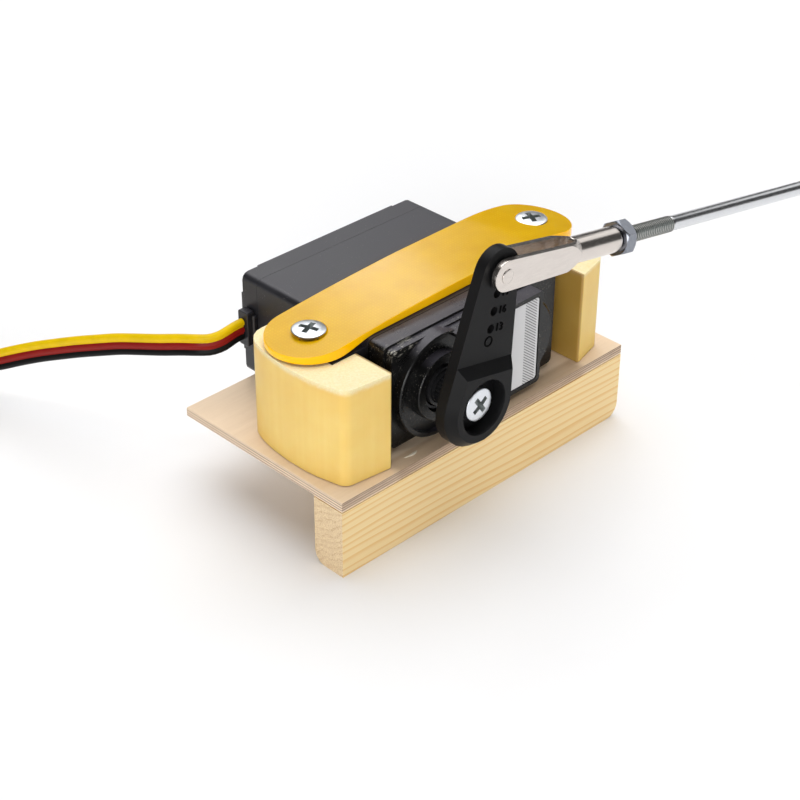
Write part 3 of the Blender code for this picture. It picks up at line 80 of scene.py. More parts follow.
# Strap: its bends, then how its upper face lies
STRAP_HALF, STRAP_THICK, STRAP_FLAT_LEFT, STRAP_FLAT_RIGHT = 7.2, 1.9, 19.0, 17.0
STRAP_DROP_LEFT, STRAP_DROP_RIGHT = 1.26, 0.9
STRAP_LEAN, STRAP_LEAN_FROM, STRAP_LEAN_EASE = 0.033, 3.0, 8.0
STRAP_WEAR, STRAP_TIP_BEND, STRAP_TIP_FROM = 0.1, 0.0012, 8.0
STRAP_ROUND, STRAP_END_POINTS, STRAP_CUTS, STRAP_CUTS_PAST = 0.14, 96, 60, 4

# Countersinks in the strap, and how far their cutters stand above and below its face
STRAP_SINK_R, STRAP_HOLE_R, STRAP_SINK = 3.1, 1.65, 1.25
SINK_ABOVE, SINK_LIP, SINK_BELOW = 2.0, 0.1, 4.0

# Screws: head radius, dome, rim, neck and shank radius, then what both kinds share
STRAP_SCREW = (2.85, 0.36, 0.10, 1.4, 1.35)
ARM_SCREW = (2.9, 0.30, 1.40, 0.0, 1.25)
DOME_STEP, DOME_POINTS, RIM_ROUND, SCREW_POINT, SCREW_TIP, SCREW_ROUND = 8.6, 10, 0.08, 1.2, 0.4, 0.05
CROSS_REACH, CROSS_WIDTH, CROSS_DEPTH, CROSS_TAPER = 2.3, 1.15, 1.1, (0.5, 0.6, 1.0)
RECESS_TOP, RECESS_SPARE = -0.16, 0.1

# Arm markings, measured along the arm from the output axis
ARM_HOLES_AT, NUMERAL_SIDE, NUMERAL_SIZE, NUMERAL_RISE = (13, 16, 19), 1.95, 1.9, 0.14
MOULD_RING_AT, MOULD_RING_R, MOULD_RING_TUBE, BLADE_SINK = 10.85, 0.8, 0.14, 1.65

# Clevis and its pin, measured along the rod from the pin, with outlines as (radius, place) points
CLEVIS_HALF, CLEVIS_SLOT, CLEVIS_NOSE_R, CLEVIS_ROOT_HALF, CLEVIS_LEG = 2.4, 1.4, 2.65, 2.2, 17.6
SLOT_LENGTH, SLOT_DEPTH = 26.0, 10.0
TRIM_SIZE, TRIM_AT, TRIM_TURN = 6.0, (-4.3, 0.0, -3.2), -40.0
SHOULDER = ((0.0, -6.0), (4.5, -6.0), (4.5, 12.0), (3.45, 14.2), (3.2, 15.4), (2.85, 16.6), (2.5, 17.6),
            (2.2, 18.4), (1.9, 19.2), (0.0, 19.2))
BARREL = ((0.0, 17.5), (1.95, 17.5), (2.15, 17.6), (2.25, 17.85), (2.25, 28.7), (1.95, 29.0), (0.0, 29.0))
BORE = ((0.0, 18.6), (1.5, 18.6), (1.5, 31.0), (0.0, 31.0))
EYE = ((0.0, -5.0), (0.92, -5.0), (0.92, 5.0), (0.0, 5.0))
CLEVIS_ROUND, CLEVIS_ROUND_TO = 0.14, 13.0
PIN_SEAT, PIN_ROUND = 0.13, 0.06

# Pushrod: its thread, with the crest's place as shares of a turn, and the runout into the plain rod
THREAD_FROM, THREAD_TO, THREAD_PITCH, THREAD_STEPS = 20.6, 45.0, 0.5, 32
THREAD_R, THREAD_ROOT_R, CREST_FROM, CREST_TO = 1.42, 1.2, 0.30, 0.65
ROD_R, ROD_CHAMFER, SHADED_FLANK = 1.3, 0.3, -0.3
RUNOUT, RUNOUT_FROM, RUNOUT_TO, RUNOUT_WEAR = 1.2, 0.4, 0.85, 0.04

# Label recess on the gear case, and the band printed on its film
LABEL_LEFT, LABEL_INSET, LABEL_HALF, LABEL_FLOOR, LABEL_THICK = -1.5, 0.15, 8.1, -1.55, 0.1
LABEL_RIGHT, LABEL_GAP, LABEL_CORNER, LABEL_ROUND = 12.9, 0.01, 0.6, 0.03
LABEL_BAND = (5.7, 9.4)

# Seam left between the case's shells, and the bottom cover's edges
SEAM_GAP, SEAM_REACH = 0.05, 0.02
COVER_RIM, COVER_ROUND = 0.2, 0.5

# Heights of the glue lines above the plywood's underside
GLUE_LINES = (0.42, 0.90, 1.38, 1.70)

# Pitch of the pine's rings, radians of the laminate's weave in a millimetre, and marks drawn out along X
RING_PITCH, WEAVE, DRAWN = 1.3, 5.2, (0.3, 2.0, 2.0)

# Spots marked by use and glue
SCUFFED_EDGE = (-17.2, 1.8, 33.8)
GLUE_SPOT, GLUE_SIZE = Vector((-16.8, -1.35, 14.66)), (1.5, 0.26, 0.12)
GLUE_SWELL, GLUE_WAVES, GLUE_PHASE, GLUE_BOW, GLUE_FLAT = 0.25, 3.1, 0.6, 0.9, -0.1

# Stage: the floor in metres, and soft lights as name, azimuth, elevation, width in degrees and strength
FLOOR_HALF, FLOOR_COLOUR, FLOOR_ROUGHNESS = 3.0, (0.945, 0.945, 0.953, 1.0), 0.9
SKY_COLOUR, SKY_STRENGTH = (1.0, 1.0, 1.0, 1.0), 0.07
LIGHTS = (
    ("key_light", 45.0, 76.0, 66.0, 2.6),
    ("fill_light", 219.0, 8.0, 44.0, 2.15),
    ("rim_light", 63.0, 33.0, 32.0, 0.28),
    ("strip_light", 48.0, 30.5, 7.0, 0.06),
    ("side_light", 8.0, 34.0, 36.0, 0.30),
)

CASE, OUTPUT, LINKAGE = "mount_and_case", "output", "linkage"

# Nodes in sight inside the output boss, darker than the rest of their slot: painted shade for the boss's
# well, and for the gear partly its dark filled nylon
OWN_FINISH = {"output_gear": "filled_nylon_in_shade", "bearing_outer_race": "painted_shade_steel",
              "bearing_inner_race": "painted_shade_steel", "bearing_cage": "painted_shade_steel"}


def node_box(node):
    """A CAD node's lowest and highest corners at rest, in millimetres."""
    return [Vector(corner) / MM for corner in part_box(node)]


PIVOTS = {joint["name"]: Vector(joint["pos_m"]) / MM for joint in frame["record"]["behaviour"]["joints"]}
OUTPUT_AXIS, CLEVIS_PIN = PIVOTS["output_turn"], PIVOTS["clevis_swing"]
ROD_END = next(Vector(m["pos_m"]) / MM for m in frame["record"]["mounts"] if m["name"] == "pushrod_end")
ROD_RUN = (ROD_END - CLEVIS_PIN).normalized()
BOARD_LOW = node_box("base_board")[0]
BLOCK_TOP = node_box("right_block")[1].z
INNER_MIDDLE = (node_box("left_block")[1].x + node_box("right_block")[0].x) / 2
INNER_HALF = (node_box("right_block")[0].x - node_box("left_block")[1].x) / 2


# A Mix node's colours: its two inputs and its result
MIX_COLOURS, MIX_RESULT = (6, 7), 2


class Tap:
    """A socket in a shader tree. Arithmetic on it adds Math nodes."""

    def __init__(self, nodes, socket):
        self.nodes = nodes
        self.socket = socket

    def node(self, kind, settings=None, inputs=None, out=0):
        """Adds any node: its settings first, then values or links for its sockets."""
        made = self.nodes.new("ShaderNode" + kind)
        for name, value in (settings or {}).items():
            setattr(made, name, value)
        for name, value in (inputs or {}).items():
            if isinstance(value, Tap):
                self.nodes.id_data.links.new(value.socket, made.inputs[name])
            else:
                made.inputs[name].default_value = value
        return Tap(self.nodes, made.outputs[out])

    def math(self, operation, a, b=0.0):
        return self.node("Math", {"operation": operation}, {0: a, 1: b})

    def __add__(self, other):
        return self.math("ADD", self, other)

    def __radd__(self, other):
        return self.math("ADD", other, self)

    def __sub__(self, other):
        return self.math("SUBTRACT", self, other)

    def __rsub__(self, other):
        return self.math("SUBTRACT", other, self)

    def __mul__(self, other):
        return self.math("MULTIPLY", self, other)

    def __rmul__(self, other):
        return self.math("MULTIPLY", other, self)

    def __abs__(self):
        return self.math("ABSOLUTE", self)

    def step(self, low, high):
        """0 at low and 1 at high, smooth between and level beyond, whichever is greater."""
        return self.node("MapRange", {"interpolation_type": "SMOOTHSTEP"},
                         {"Value": self, "From Min": low, "From Max": high})

    def wave(self):
        return self.math("SINE", self)

    def fraction(self):
        return self.math("FRACT", self)

    def part(self, axis):
        """One coordinate of a vector."""
        return self.node("SeparateXYZ", None, {0: self}, "XYZ".index(axis))

    def scaled(self, x, y, z):
        """A vector with each coordinate scaled by its own amount."""
        return self.node("VectorMath", {"operation": "MULTIPLY"}, {0: self, 1: (x, y, z)})

    def noise(self, scale, detail=2.0, roughness=0.5):
        return self.node("TexNoise", None, {"Vector": self, "Scale": scale, "Detail": detail,
                                            "Roughness": roughness})

    def tint(self, low, high):
        """A colour between two, by this value."""
        inputs = {"Factor": self}
        for socket, colour in zip(MIX_COLOURS, (low, high)):
            inputs[socket] = colour if isinstance(colour, Tap) else (*colour, 1.0)
        return self.node("Mix", {"data_type": "RGBA"}, inputs, MIX_RESULT)

    def bump(self, height_mm, strength=1.0):
        """A normal for a surface that rises by this value times a height."""
        return self.node("Bump", None, {"Height": self, "Distance": height_mm * MM, "Strength": strength})


def finish(name, surface, **constants):
    """A material: surface gives the sockets that vary, from places on the piece in millimetres."""
    made = bpy.data.materials.new(name)
    made.use_nodes = True
    nodes = made.node_tree.nodes
    shader = nodes["Principled BSDF"]
    place = Tap(nodes, nodes.new("ShaderNodeTexCoord").outputs["Object"])
    place = place.scaled(MM_PER_M, MM_PER_M, MM_PER_M)
    for socket, tap in surface(place).items():
        made.node_tree.links.new(tap.socket, shader.inputs[socket])
    for socket, value in constants.items():
        shader.inputs[socket.replace("_", " ")].default_value = value
    return made


# Finishes


def facing(at, axis):
    """How squarely a surface faces along an axis, either way."""
    return abs(at.node("NewGeometry", None, None, "Normal").part(axis))


def birch_plywood(at):
    """Pale veneer, browner with painted shade in front of the case, with dark glue lines and brown plies at
    the edges.
    """
    level = at.part("Z") - BOARD_LOW.z
    grain = at.scaled(0.045, 0.9, 1.0).noise(1.0, 4.0, 0.6)
    fine = at.scaled(0.5, 7.0, 7.0).noise(1.0, 3.0, 0.6)
    face = (grain * 0.7 + fine * 0.4).tint((0.80, 0.61, 0.425), (0.97, 0.79, 0.595))
    speck = at.scaled(0.6, 3.0, 3.0).noise(2.2, 2.0).step(0.70, 0.78)
    face = (speck * 0.4).tint(face, (0.48, 0.34, 0.22))
    streak = at.scaled(0.35, 0.35, 5.0).noise(1.0, 4.0, 0.7)
    # Painted shade: the strip in front of the case, between the blocks, is darkened and browned in place of
    # the shade the case and arm cast there.
    shade_in_front = at.part("Y").step(0.5, -0.5)
    between_blocks = abs(at.part("X") - INNER_MIDDLE).step(INNER_HALF + 1.0, INNER_HALF - 1.0)
    face = (shade_in_front * between_blocks * (grain * 0.5 + 0.35)).tint(face, (0.46, 0.30, 0.16))
    cross_ply = level.step(0.25, 0.45) * facing(at, "Y").step(0.3, 0.8)
    plies = streak.step(0.3, 0.7).tint((0.30, 0.20, 0.13), (0.62, 0.46, 0.33))
    colour = (cross_ply * 0.6).tint(face, plies)
    wobble = level + streak * 0.10 - 0.05
    glue = 0.0
    for height in GLUE_LINES:
        glue = abs(wobble - height).step(0.12, 0.03) + glue
    edge = facing(at, "Z").step(0.8, 0.4)
    colour = (glue * edge * 0.85).tint(colour, (0.20, 0.11, 0.075))
    return {"Base Color": colour, "Roughness": grain * 0.2 + 0.55,
            "Normal": (grain + fine * 0.6).bump(0.05, 0.5)}


def pine(at):
    """Straight growth rings that show as soft stripes on the faces, and fine pores on the sawn ends."""
    wander = at.scaled(0.010, 0.13, 0.13).noise(1.0, 2.0)
    drift = at.scaled(0.03, 0.4, 0.4).noise(1.0, 1.0)
    across = at.part("Z") + at.part("Y") * 0.45 + at.part("X") * 0.016 + wander * 4.0 + drift * 1.2
    ring = (across * (1 / RING_PITCH)).fraction()
    late = ring.step(0.45, 0.92) * ring.step(1.0, 0.94)
    fibre = at.scaled(0.12, 6.0, 6.0).noise(1.0, 4.0, 0.65)
    long_grain = (late * 0.66 + fibre * 0.40 - 0.05).tint((1.0, 0.78, 0.42), (0.88, 0.55, 0.20))
    pores = at.scaled(1.0, 1.4, 0.8).noise(6.5, 3.0, 0.7)
    sawn = (pores.step(0.40, 0.62) * 0.75 + late * 0.22).tint((0.94, 0.75, 0.48), (0.62, 0.40, 0.20))
    end = facing(at, "X").step(0.5, 0.85)
    colour = end.tint(long_grain, sawn)
    height = late * 0.3 + fibre + pores * end
    return {"Base Color": colour, "Roughness": fibre * 0.2 + 0.5, "Normal": height.bump(0.04, 0.5)}


def cast_resin(at):
    """Cloudy yellow resin, streaked where it was filed and paler and grainy where it was sanded flat, with
    painted shade on the inner faces towards the case.
    """
    streak = at.scaled(0.8, 0.8, 0.02).noise(1.0, 4.0, 0.6)
    cloud = at.noise(0.12, 3.0)
    body = (streak * 0.35 + cloud * 0.8 - 0.05).tint((0.84, 0.51, 0.08), (0.98, 0.74, 0.25))
    grit = at.noise(2.6, 4.0, 0.7)
    level = at.part("Z") + at.noise(0.7, 4.0, 0.65) * 0.9
    sanded = level.step(BLOCK_TOP - 0.5, BLOCK_TOP + 0.7)
    colour = sanded.tint(body, grit.step(0.3, 0.7).tint((0.93, 0.76, 0.42), (0.98, 0.86, 0.56)))
    # Painted shade: the blocks' inner faces towards the case are darkened to deep amber.
    inner = abs(abs(at.part("X") - INNER_MIDDLE) - INNER_HALF).step(0.5, 0.15)
    colour = (inner * 0.8).tint(colour, cloud.tint((0.22, 0.11, 0.011), (0.33, 0.175, 0.022)))
    return {"Base Color": colour, "Roughness": sanded * 0.35 + cloud * 0.2 + 0.33,
            "Normal": (streak + grit * (sanded * 0.6 + 0.2)).bump(0.05, 0.5)}


def amber_laminate(at):
    """Woven glass in clear amber resin, with brighter dots where the strands cross, and cut edges that glow
    with painted light.
    """
    warp, weft = at.part("X") * WEAVE, at.part("Y") * WEAVE
    weave = (warp + weft).wave() * (warp - weft).wave()
    fleck = at.scaled(1.0, 2.0, 1.0).noise(2.4, 3.0, 0.7)
    cloud = at.noise(0.22, 3.0)
    colour = (cloud * 0.8 + 0.1).tint((0.66, 0.35, 0.0005), (0.84, 0.50, 0.001))
    colour = (weave.step(0.3, 0.95) * cloud * 0.5).tint(colour, (0.95, 0.66, 0.02))
    colour = (fleck.step(0.60, 0.74) * 0.4).tint(colour, (0.95, 0.70, 0.10))
    edge = facing(at, "Z").step(0.9, 0.6)
    colour = edge.tint(colour, (0.98, 0.53, 0.001))
    # Painted light: the cut edges emit an orange glow in place of light coming through the resin.
    painted_edge_light = edge.tint((0.0, 0.0, 0.0), (1.0, 0.51, 0.0))
    return {"Base Color": colour, "Emission Color": painted_edge_light, "Roughness": cloud * 0.05 + fleck * 0.05 + 0.15,
            "Normal": (weave * 0.4 + fleck).bump(0.02, 0.3)}


def plated(low, high, scratch=(1.0, 1.0, 1.0), rough=0.15):
    """Plated or drawn metal with faint marks, stretched by a scale for each axis."""
    def surface(at):
        mark = at.scaled(*scratch).noise(1.6, 3.0, 0.6)
        return {"Base Color": mark.tint(low, high), "Roughness": mark * 0.16 + rough,
                "Normal": mark.bump(0.004, 0.3)}
    return surface


def moulded(low, high, rough, grain=9.0):
    """Moulded plastic with a fine spark-eroded texture."""
    def surface(at):
        cloud = at.noise(0.3, 3.0)
        pebble = at.noise(grain, 1.0)
        return {"Base Color": cloud.tint(low, high), "Roughness": cloud * 0.15 + rough,
                "Normal": pebble.bump(0.010, 0.3)}
    return surface


def case_shell(low, high, rough, dust_and_sheen, dusty):
    """Satin black plastic with dust specks, a pale lavender film on upward faces that is partly dust and
    partly painted sheen, and pale glue scuffs on the edge beside the left block.
    """
    def surface(at):
        cloud = at.noise(0.25, 3.0)
        pebble = at.noise(7.0, 2.0)
        speck = at.noise(5.4, 1.0).step(dusty, dusty + 0.05) * at.noise(0.4, 2.0).step(0.40, 0.58)
        # Partly dust and partly painted sheen: faces turned up are paler and lavender, as though they catch
        # the sky.
        film = facing(at, "Z").step(0.75, 0.98) * (cloud * 0.5 + 0.5)
        off = at.node("VectorMath", {"operation": "SUBTRACT"}, {0: at, 1: SCUFFED_EDGE})
        off = off.scaled(0.36, 1.3, 0.9)
        reach = off.node("VectorMath", {"operation": "LENGTH"}, {0: off}, "Value")
        scratch = at.scaled(0.25, 2.2, 1.4).noise(2.3, 6.0, 0.75).step(0.51, 0.58)
        scuff = scratch * at.noise(0.9, 2.0).step(0.38, 0.56) * reach.step(2.3, 0.4)
        colour = cloud.tint(low, high)
        colour = (film * dust_and_sheen).tint(colour, (0.80, 0.74, 0.92))
        colour = (scuff * 0.95 + speck * 0.35).tint(colour, (0.70, 0.67, 0.58))
        return {"Base Color": colour, "Roughness": cloud * 0.14 + pebble * 0.08 + scuff * 0.3 + rough,
                "Normal": (pebble * 0.4 + scuff * 2.0).bump(0.02, 0.3)}
    return surface


def insulation(colour):
    """Soft wire insulation, a little dulled in patches."""
    def surface(at):
        cloud = at.noise(0.5, 3.0)
        dark = tuple(c * 0.72 for c in colour)
        return {"Base Color": cloud.tint(dark, colour), "Roughness": cloud * 0.2 + 0.3}
    return surface


def label_film(at):
    """A printed film: a white band, a field of fine slanting lines and a pale border."""
    x, z = at.part("X"), at.part("Z")
    line = ((x * 0.8 + z) * 1.9).fraction().step(0.22, 0.52)
    fade = at.noise(0.3, 2.0)
    field = (line * 0.75 + fade * 0.2).tint((0.09, 0.09, 0.095), (0.78, 0.78, 0.79))
    left, right = LABEL_BAND
    band = x.step(left - 0.1, left + 0.1) * x.step(right + 0.1, right - 0.1)
    rim = x.step(LABEL_RIGHT - 0.75, LABEL_RIGHT - 0.6)
    colour = (band + rim * 0.8).tint(field, (0.74, 0.74, 0.75))
    return {"Base Color": colour, "Roughness": fade * 0.2 + 0.3}


def dried_glue(at):
    """Cloudy, yellowed glue."""
    cloud = at.noise(1.5, 3.0)
    return {"Base Color": cloud.tint((0.78, 0.66, 0.48), (0.92, 0.85, 0.70)), "Roughness": cloud * 0.2 + 0.3}


FINISHES = {
    "plywood": finish("birch_plywood", birch_plywood),
    "pine": finish("pine", pine),
    "resin": finish("cast_resin", cast_resin, Subsurface_Weight=0.25, Subsurface_Radius=(1.0, 0.6, 0.2),
                    Subsurface_Scale=0.0015),
    # The emission strength here is the painted light on the laminate's cut edges.
    "glass_fibre": finish("amber_laminate", amber_laminate, Subsurface_Weight=0.2,
                          Subsurface_Radius=(1.0, 0.6, 0.05), Subsurface_Scale=0.001,
                          Specular_IOR_Level=0.34, Emission_Strength=0.2),
    "zinc": finish("zinc_plate", plated((0.70, 0.73, 0.77), (0.82, 0.85, 0.88), rough=0.24), Metallic=1.0),
    # Painted shade for the thread's downward flanks.
    "painted_shade_zinc": finish("painted_shade_zinc", plated((0.05, 0.06, 0.06), (0.18, 0.20, 0.19), rough=0.4),
                         Metallic=0.7),
    # Painted shade for the faces inside the screws' cross recesses.
    "recess_shade_zinc": finish("recess_shade_zinc", plated((0.18, 0.20, 0.20), (0.46, 0.50, 0.49), rough=0.35),
                          Metallic=0.8),
    "blue_zinc": finish("blue_zinc", plated((0.17, 0.18, 0.21), (0.34, 0.36, 0.40), rough=0.16),
                        Metallic=1.0),
    "painted_shade_steel": finish("painted_shade_steel", plated((0.03, 0.03, 0.032), (0.06, 0.06, 0.062), rough=0.3),
                          Metallic=0.5),
    "filled_nylon_in_shade": finish("filled_nylon_in_shade", moulded((0.008, 0.008, 0.009), (0.016, 0.016, 0.017), 0.4),
                           Specular_IOR_Level=0.2),
    "nickel": finish("nickel_plate", plated((0.60, 0.55, 0.51), (0.80, 0.74, 0.69), DRAWN), Metallic=1.0),
    "steel": finish("drawn_steel", plated((0.60, 0.61, 0.63), (0.78, 0.79, 0.81), DRAWN), Metallic=1.0),
    # Darker than the plain rod's steel: painted shade for the thread's grooves.
    "thread_steel": finish("thread_steel", plated((0.46, 0.45, 0.43), (0.62, 0.61, 0.58), rough=0.3),
                           Metallic=1.0),
    "case_plastic": finish("case_plastic",
                           case_shell((0.010, 0.010, 0.0125), (0.018, 0.018, 0.023), 0.30, 0.032, 0.72),
                           Specular_IOR_Level=0.54),
    # A darker, glossier copy of the case plastic: its darkness is painted shade for the output boss's well,
    # spread over the whole gear case.
    "gear_case_plastic": finish("gear_case_plastic",
                                case_shell((0.004, 0.004, 0.004), (0.008, 0.008, 0.008), 0.18, 0.08, 0.69),
                                Specular_IOR_Level=0.30),
    "arm_plastic": finish("arm_plastic", moulded((0.006, 0.006, 0.0065), (0.010, 0.010, 0.0105), 0.36, 6.0),
                          Specular_IOR_Level=0.12),
    # Painted shade: the raised numerals and mould ring are darker and duller than the arm.
    "arm_mark": finish("arm_mark", moulded((0.001, 0.001, 0.001), (0.003, 0.003, 0.003), 0.6),
                       Specular_IOR_Level=0.03),
    "gear_nylon": finish("gear_nylon", moulded((0.72, 0.70, 0.62), (0.85, 0.83, 0.76), 0.4)),
    "brass": finish("brass", plated((0.68, 0.48, 0.18), (0.82, 0.62, 0.28)), Metallic=1.0),
    "magnet": finish("sintered_magnet", moulded((0.06, 0.06, 0.065), (0.10, 0.10, 0.105), 0.5)),
    "board_green": finish("solder_mask", moulded((0.02, 0.14, 0.06), (0.04, 0.22, 0.10), 0.3)),
    "chip_epoxy": finish("chip_epoxy", moulded((0.015, 0.015, 0.015), (0.025, 0.025, 0.025), 0.5)),
    "tie_nylon": finish("tie_nylon", moulded((0.02, 0.02, 0.02), (0.03, 0.03, 0.03), 0.4)),
    "lead_yellow": finish("insulation_yellow", insulation((0.92, 0.62, 0.0005)), Specular_IOR_Level=0.2),
    "lead_red": finish("insulation_red", insulation((0.30, 0.012, 0.009)), Specular_IOR_Level=0.15),
    "lead_black": finish("insulation_black", insulation((0.007, 0.007, 0.007)), Specular_IOR_Level=0.12),
    "label": finish("label_film", label_film),
    "glue": finish("dried_glue", dried_glue),
}


# Pieces


def piece(name, bm, body, slot, replaced=(), finishes=(), sharp=35.0):
    """Turns a mesh in millimetres into a piece that rides on a body and stands for CAD nodes."""
    bmesh.ops.remove_doubles(bm, verts=bm.verts, dist=FINAL_NEAR)
    bmesh.ops.dissolve_degenerate(bm, edges=bm.edges, dist=SLIVER)
    bmesh.ops.scale(bm, vec=(MM, MM, MM), verts=bm.verts)
    mesh = bpy.data.meshes.new(name)
    bm.to_mesh(mesh)
    bm.free()
    mesh.shade_smooth()
    mesh.set_sharp_from_angle(angle=math.radians(sharp))
    for each in finishes or (slot,):
        mesh.materials.append(FINISHES[each])
    made = bpy.data.objects.new(name, mesh)
    bpy.context.collection.objects.link(made)
    if sharp < EVENED_BELOW:
        made.modifiers.new("even_shading", "WEIGHTED_NORMAL").keep_sharp = True
    if replaced:
        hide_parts(*replaced)
    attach(made, body)
    return made


def node_copy(node):
    """A CAD node's mesh in millimetres, merged, with its flat faces whole again."""
    bm = bmesh.new()
    bm.from_mesh(frame["nodes"][node].data)
    bmesh.ops.scale(bm, vec=(MM_PER_M, MM_PER_M, MM_PER_M), verts=bm.verts)
    bmesh.ops.remove_doubles(bm, verts=bm.verts, dist=NEAR)
    bmesh.ops.dissolve_limit(bm, angle_limit=math.radians(FLAT_WITHIN), verts=bm.verts, edges=bm.edges)
    return bm


def rounded_off(bm, width, segments=2, sharp=30.0, seam=None, among=None):
    """Rounds every edge that turns by more than an angle, apart from those at a seam's y."""
    edges = [e for e in among or bm.edges if e.calc_face_angle(0.0) > math.radians(sharp)]
    if seam is not None:
        edges = [e for e in edges if any(abs(v.co.y - seam) > SEAM_REACH for v in e.verts)]
    bmesh.ops.bevel(bm, geom=edges, offset=width, segments=segments, profile=0.5, affect="EDGES",
                    offset_type="OFFSET", material=-1, clamp_overlap=True, loop_slide=True)
    return bm


def turned(profile, steps=48):
    """A solid turned about +Z from (radius, height) points that start and end on the axis."""
    bm = bmesh.new()
    points = [bm.verts.new((r, 0.0, h)) for r, h in profile]
    edges = [bm.edges.new(pair) for pair in zip(points, points[1:])]
    bmesh.ops.spin(bm, geom=points + edges, cent=(0, 0, 0), axis=(0, 0, 1), angle=2 * math.pi,
                   steps=steps, use_merge=True)
    bmesh.ops.remove_doubles(bm, verts=bm.verts, dist=NEAR)
    bmesh.ops.recalc_face_normals(bm, faces=bm.faces)
    return bm


def round_bar(radius, reach, depth, segments):
    """A flat bar with round ends, one about the origin and one out along +X, from height 0 up."""
    bm = bmesh.new()
    bmesh.ops.create_circle(bm, cap_ends=True, radius=radius, segments=segments)
    bmesh.ops.translate(bm, vec=(reach, 0, 0), verts=[v for v in bm.verts if v.co.x > NEAR])
    rise = bmesh.ops.extrude_face_region(bm, geom=bm.faces[:])["geom"]
    raised = [g for g in rise if isinstance(g, bmesh.types.BMVert)]
    bmesh.ops.translate(bm, vec=(0, 0, depth), verts=raised)
    bmesh.ops.recalc_face_normals(bm, faces=bm.faces)
    return bm


def seated(bm, place, axis, turn=0.0):
    """Moves a piece made about +Z to a place, pointing along an axis."""
    aim = Vector(axis).to_track_quat("Z", "Y").to_matrix().to_4x4()
    spot = Matrix.Translation(place) @ aim @ Matrix.Rotation(math.radians(turn), 4, "Z")
    bmesh.ops.transform(bm, matrix=spot, verts=bm.verts)
    return bm


def spun(bm, turn, axis):
    """Turns a mesh about the origin by degrees."""
    bmesh.ops.rotate(bm, cent=(0, 0, 0), matrix=Matrix.Rotation(math.radians(turn), 3, axis), verts=bm.verts)
    return bm


def carved(bm, operation, *tools):
    """A solid cut by other solids, kept only where it lies in them, or joined to them."""
    holders = []
    for each in (bm, *tools):
        mesh = bpy.data.meshes.new("carving")
        each.to_mesh(mesh)
        each.free()
        holders.append(bpy.data.objects.new("carving", mesh))
        bpy.context.collection.objects.link(holders[-1])
    for tool in holders[1:]:
        cut = holders[0].modifiers.new("cut", "BOOLEAN")
        cut.operation = operation
        cut.object = tool
    out = bmesh.new()
    out.from_mesh(holders[0].evaluated_get(bpy.context.evaluated_depsgraph_get()).to_mesh())
    for holder in holders:
        bpy.data.objects.remove(holder)
    return out


def cross_bars():
    """Two crossed bars with tapering ends that cut a cross recess down from height 0."""
    bars = []
    for turn in (0, 90):
        bar = bmesh.new()
        bmesh.ops.create_cube(bar, size=2.0)
        bmesh.ops.scale(bar, vec=(CROSS_REACH, CROSS_WIDTH / 2, CROSS_DEPTH), verts=bar.verts)
        low = [v for v in bar.verts if v.co.z < 0]
        bmesh.ops.scale(bar, vec=CROSS_TAPER, verts=low)
        bars.append(spun(bar, turn, "Z"))
    return bars


def eased(node, body, slot, width, seam=None, sharp=35.0, finish_name=None):
    """A CAD node with its sharp edges rounded off, apart from a seam."""
    bm = rounded_off(node_copy(node), width, seam=seam)
    piece(node + "_eased", bm, body, slot, [node], [finish_name or slot], sharp)


def closed_cover():
    """The bottom cover drawn up to the middle case, so that the seam between them is a hairline."""
    bm = node_copy("bottom_cover")
    seam = node_box("middle_case")[1].y + SEAM_GAP
    rim = [v for v in bm.verts if v.co.y < seam + COVER_RIM]
    bmesh.ops.translate(bm, vec=(0, seam - min(v.co.y for v in rim), 0), verts=rim)
    rounded_off(bm, COVER_ROUND, segments=3, seam=seam)
    piece("bottom_cover_eased", bm, CASE, "case_plastic", ["bottom_cover"])


def joined(bm, *others):
    """Several solids in one mesh."""
    for other in others:
        mesh = bpy.data.meshes.new("joining")
        other.to_mesh(mesh)
        other.free()
        bm.from_mesh(mesh)
    return bm


# Strap and screws


def make_screw(node, body, sizes, axis, turn):
    """A cross-head screw: low dome, rim, neck down to the shank, deep recess."""
    head_r, dome, rim, neck, shank_r = sizes
    low, high = node_box(node)
    along = Vector(axis)
    length = abs((high - low).dot(along))
    head = (low + high + along * length) / 2
    angles = [math.radians(DOME_STEP * k) for k in range(DOME_POINTS)]
    profile = [(head_r * math.sin(t), dome * (math.cos(t) - 1)) for t in angles]
    edge = profile[-1][1]
    profile += [(head_r, edge - RIM_ROUND), (head_r, edge - rim), (shank_r, edge - rim - neck),
                (shank_r, SCREW_POINT - length), (shank_r * SCREW_TIP, -length), (0.0, -length)]
    bm = carved(turned(profile), "DIFFERENCE", *cross_bars())
    rounded_off(bm, SCREW_ROUND, sharp=45.0)
    # Painted shade: faces inside the cross recess take the darker zinc.
    for face in bm.faces:
        spot = face.calc_center_median()
        in_recess = -CROSS_DEPTH - RECESS_SPARE < spot.z < RECESS_TOP
        face.material_index = int(spot.xy.length < CROSS_REACH and in_recess)
    piece(node + "_turned", seated(bm, head, axis, turn), body, "zinc", [node], ["zinc", "recess_shade_zinc"])


def strap_drop(across, half):
    """How far the underside bends below its flat part: down onto the left block, and sprung to the right."""
    flat = STRAP_FLAT_LEFT if across < 0 else STRAP_FLAT_RIGHT
    past = max(0.0, abs(across) - flat) / (half - flat)
    if across < 0:
        rest = min(past, 1.0)
        return STRAP_DROP_LEFT * rest ** 2 * (3.0 - 2.0 * rest)
    return STRAP_DROP_RIGHT * (past ** 2 if past < 1.0 else 2.0 * past - 1.0)


def strap_lean(across, half):
    """How far the upper face lies below the CAD strap's flat top: a lean to the left, sprung to the right."""
    past = max(0.0, STRAP_LEAN_FROM - across)
    ease = min(past, STRAP_LEAN_EASE)
    lean = STRAP_LEAN * (ease * ease / (2 * STRAP_LEAN_EASE) + past - ease)
    tip = STRAP_TIP_BEND * max(0.0, -across - STRAP_TIP_FROM) ** 2
    spring = strap_drop(across, half) if across > 0 else 0.0
    return STRAP_WEAR + lean + tip + spring


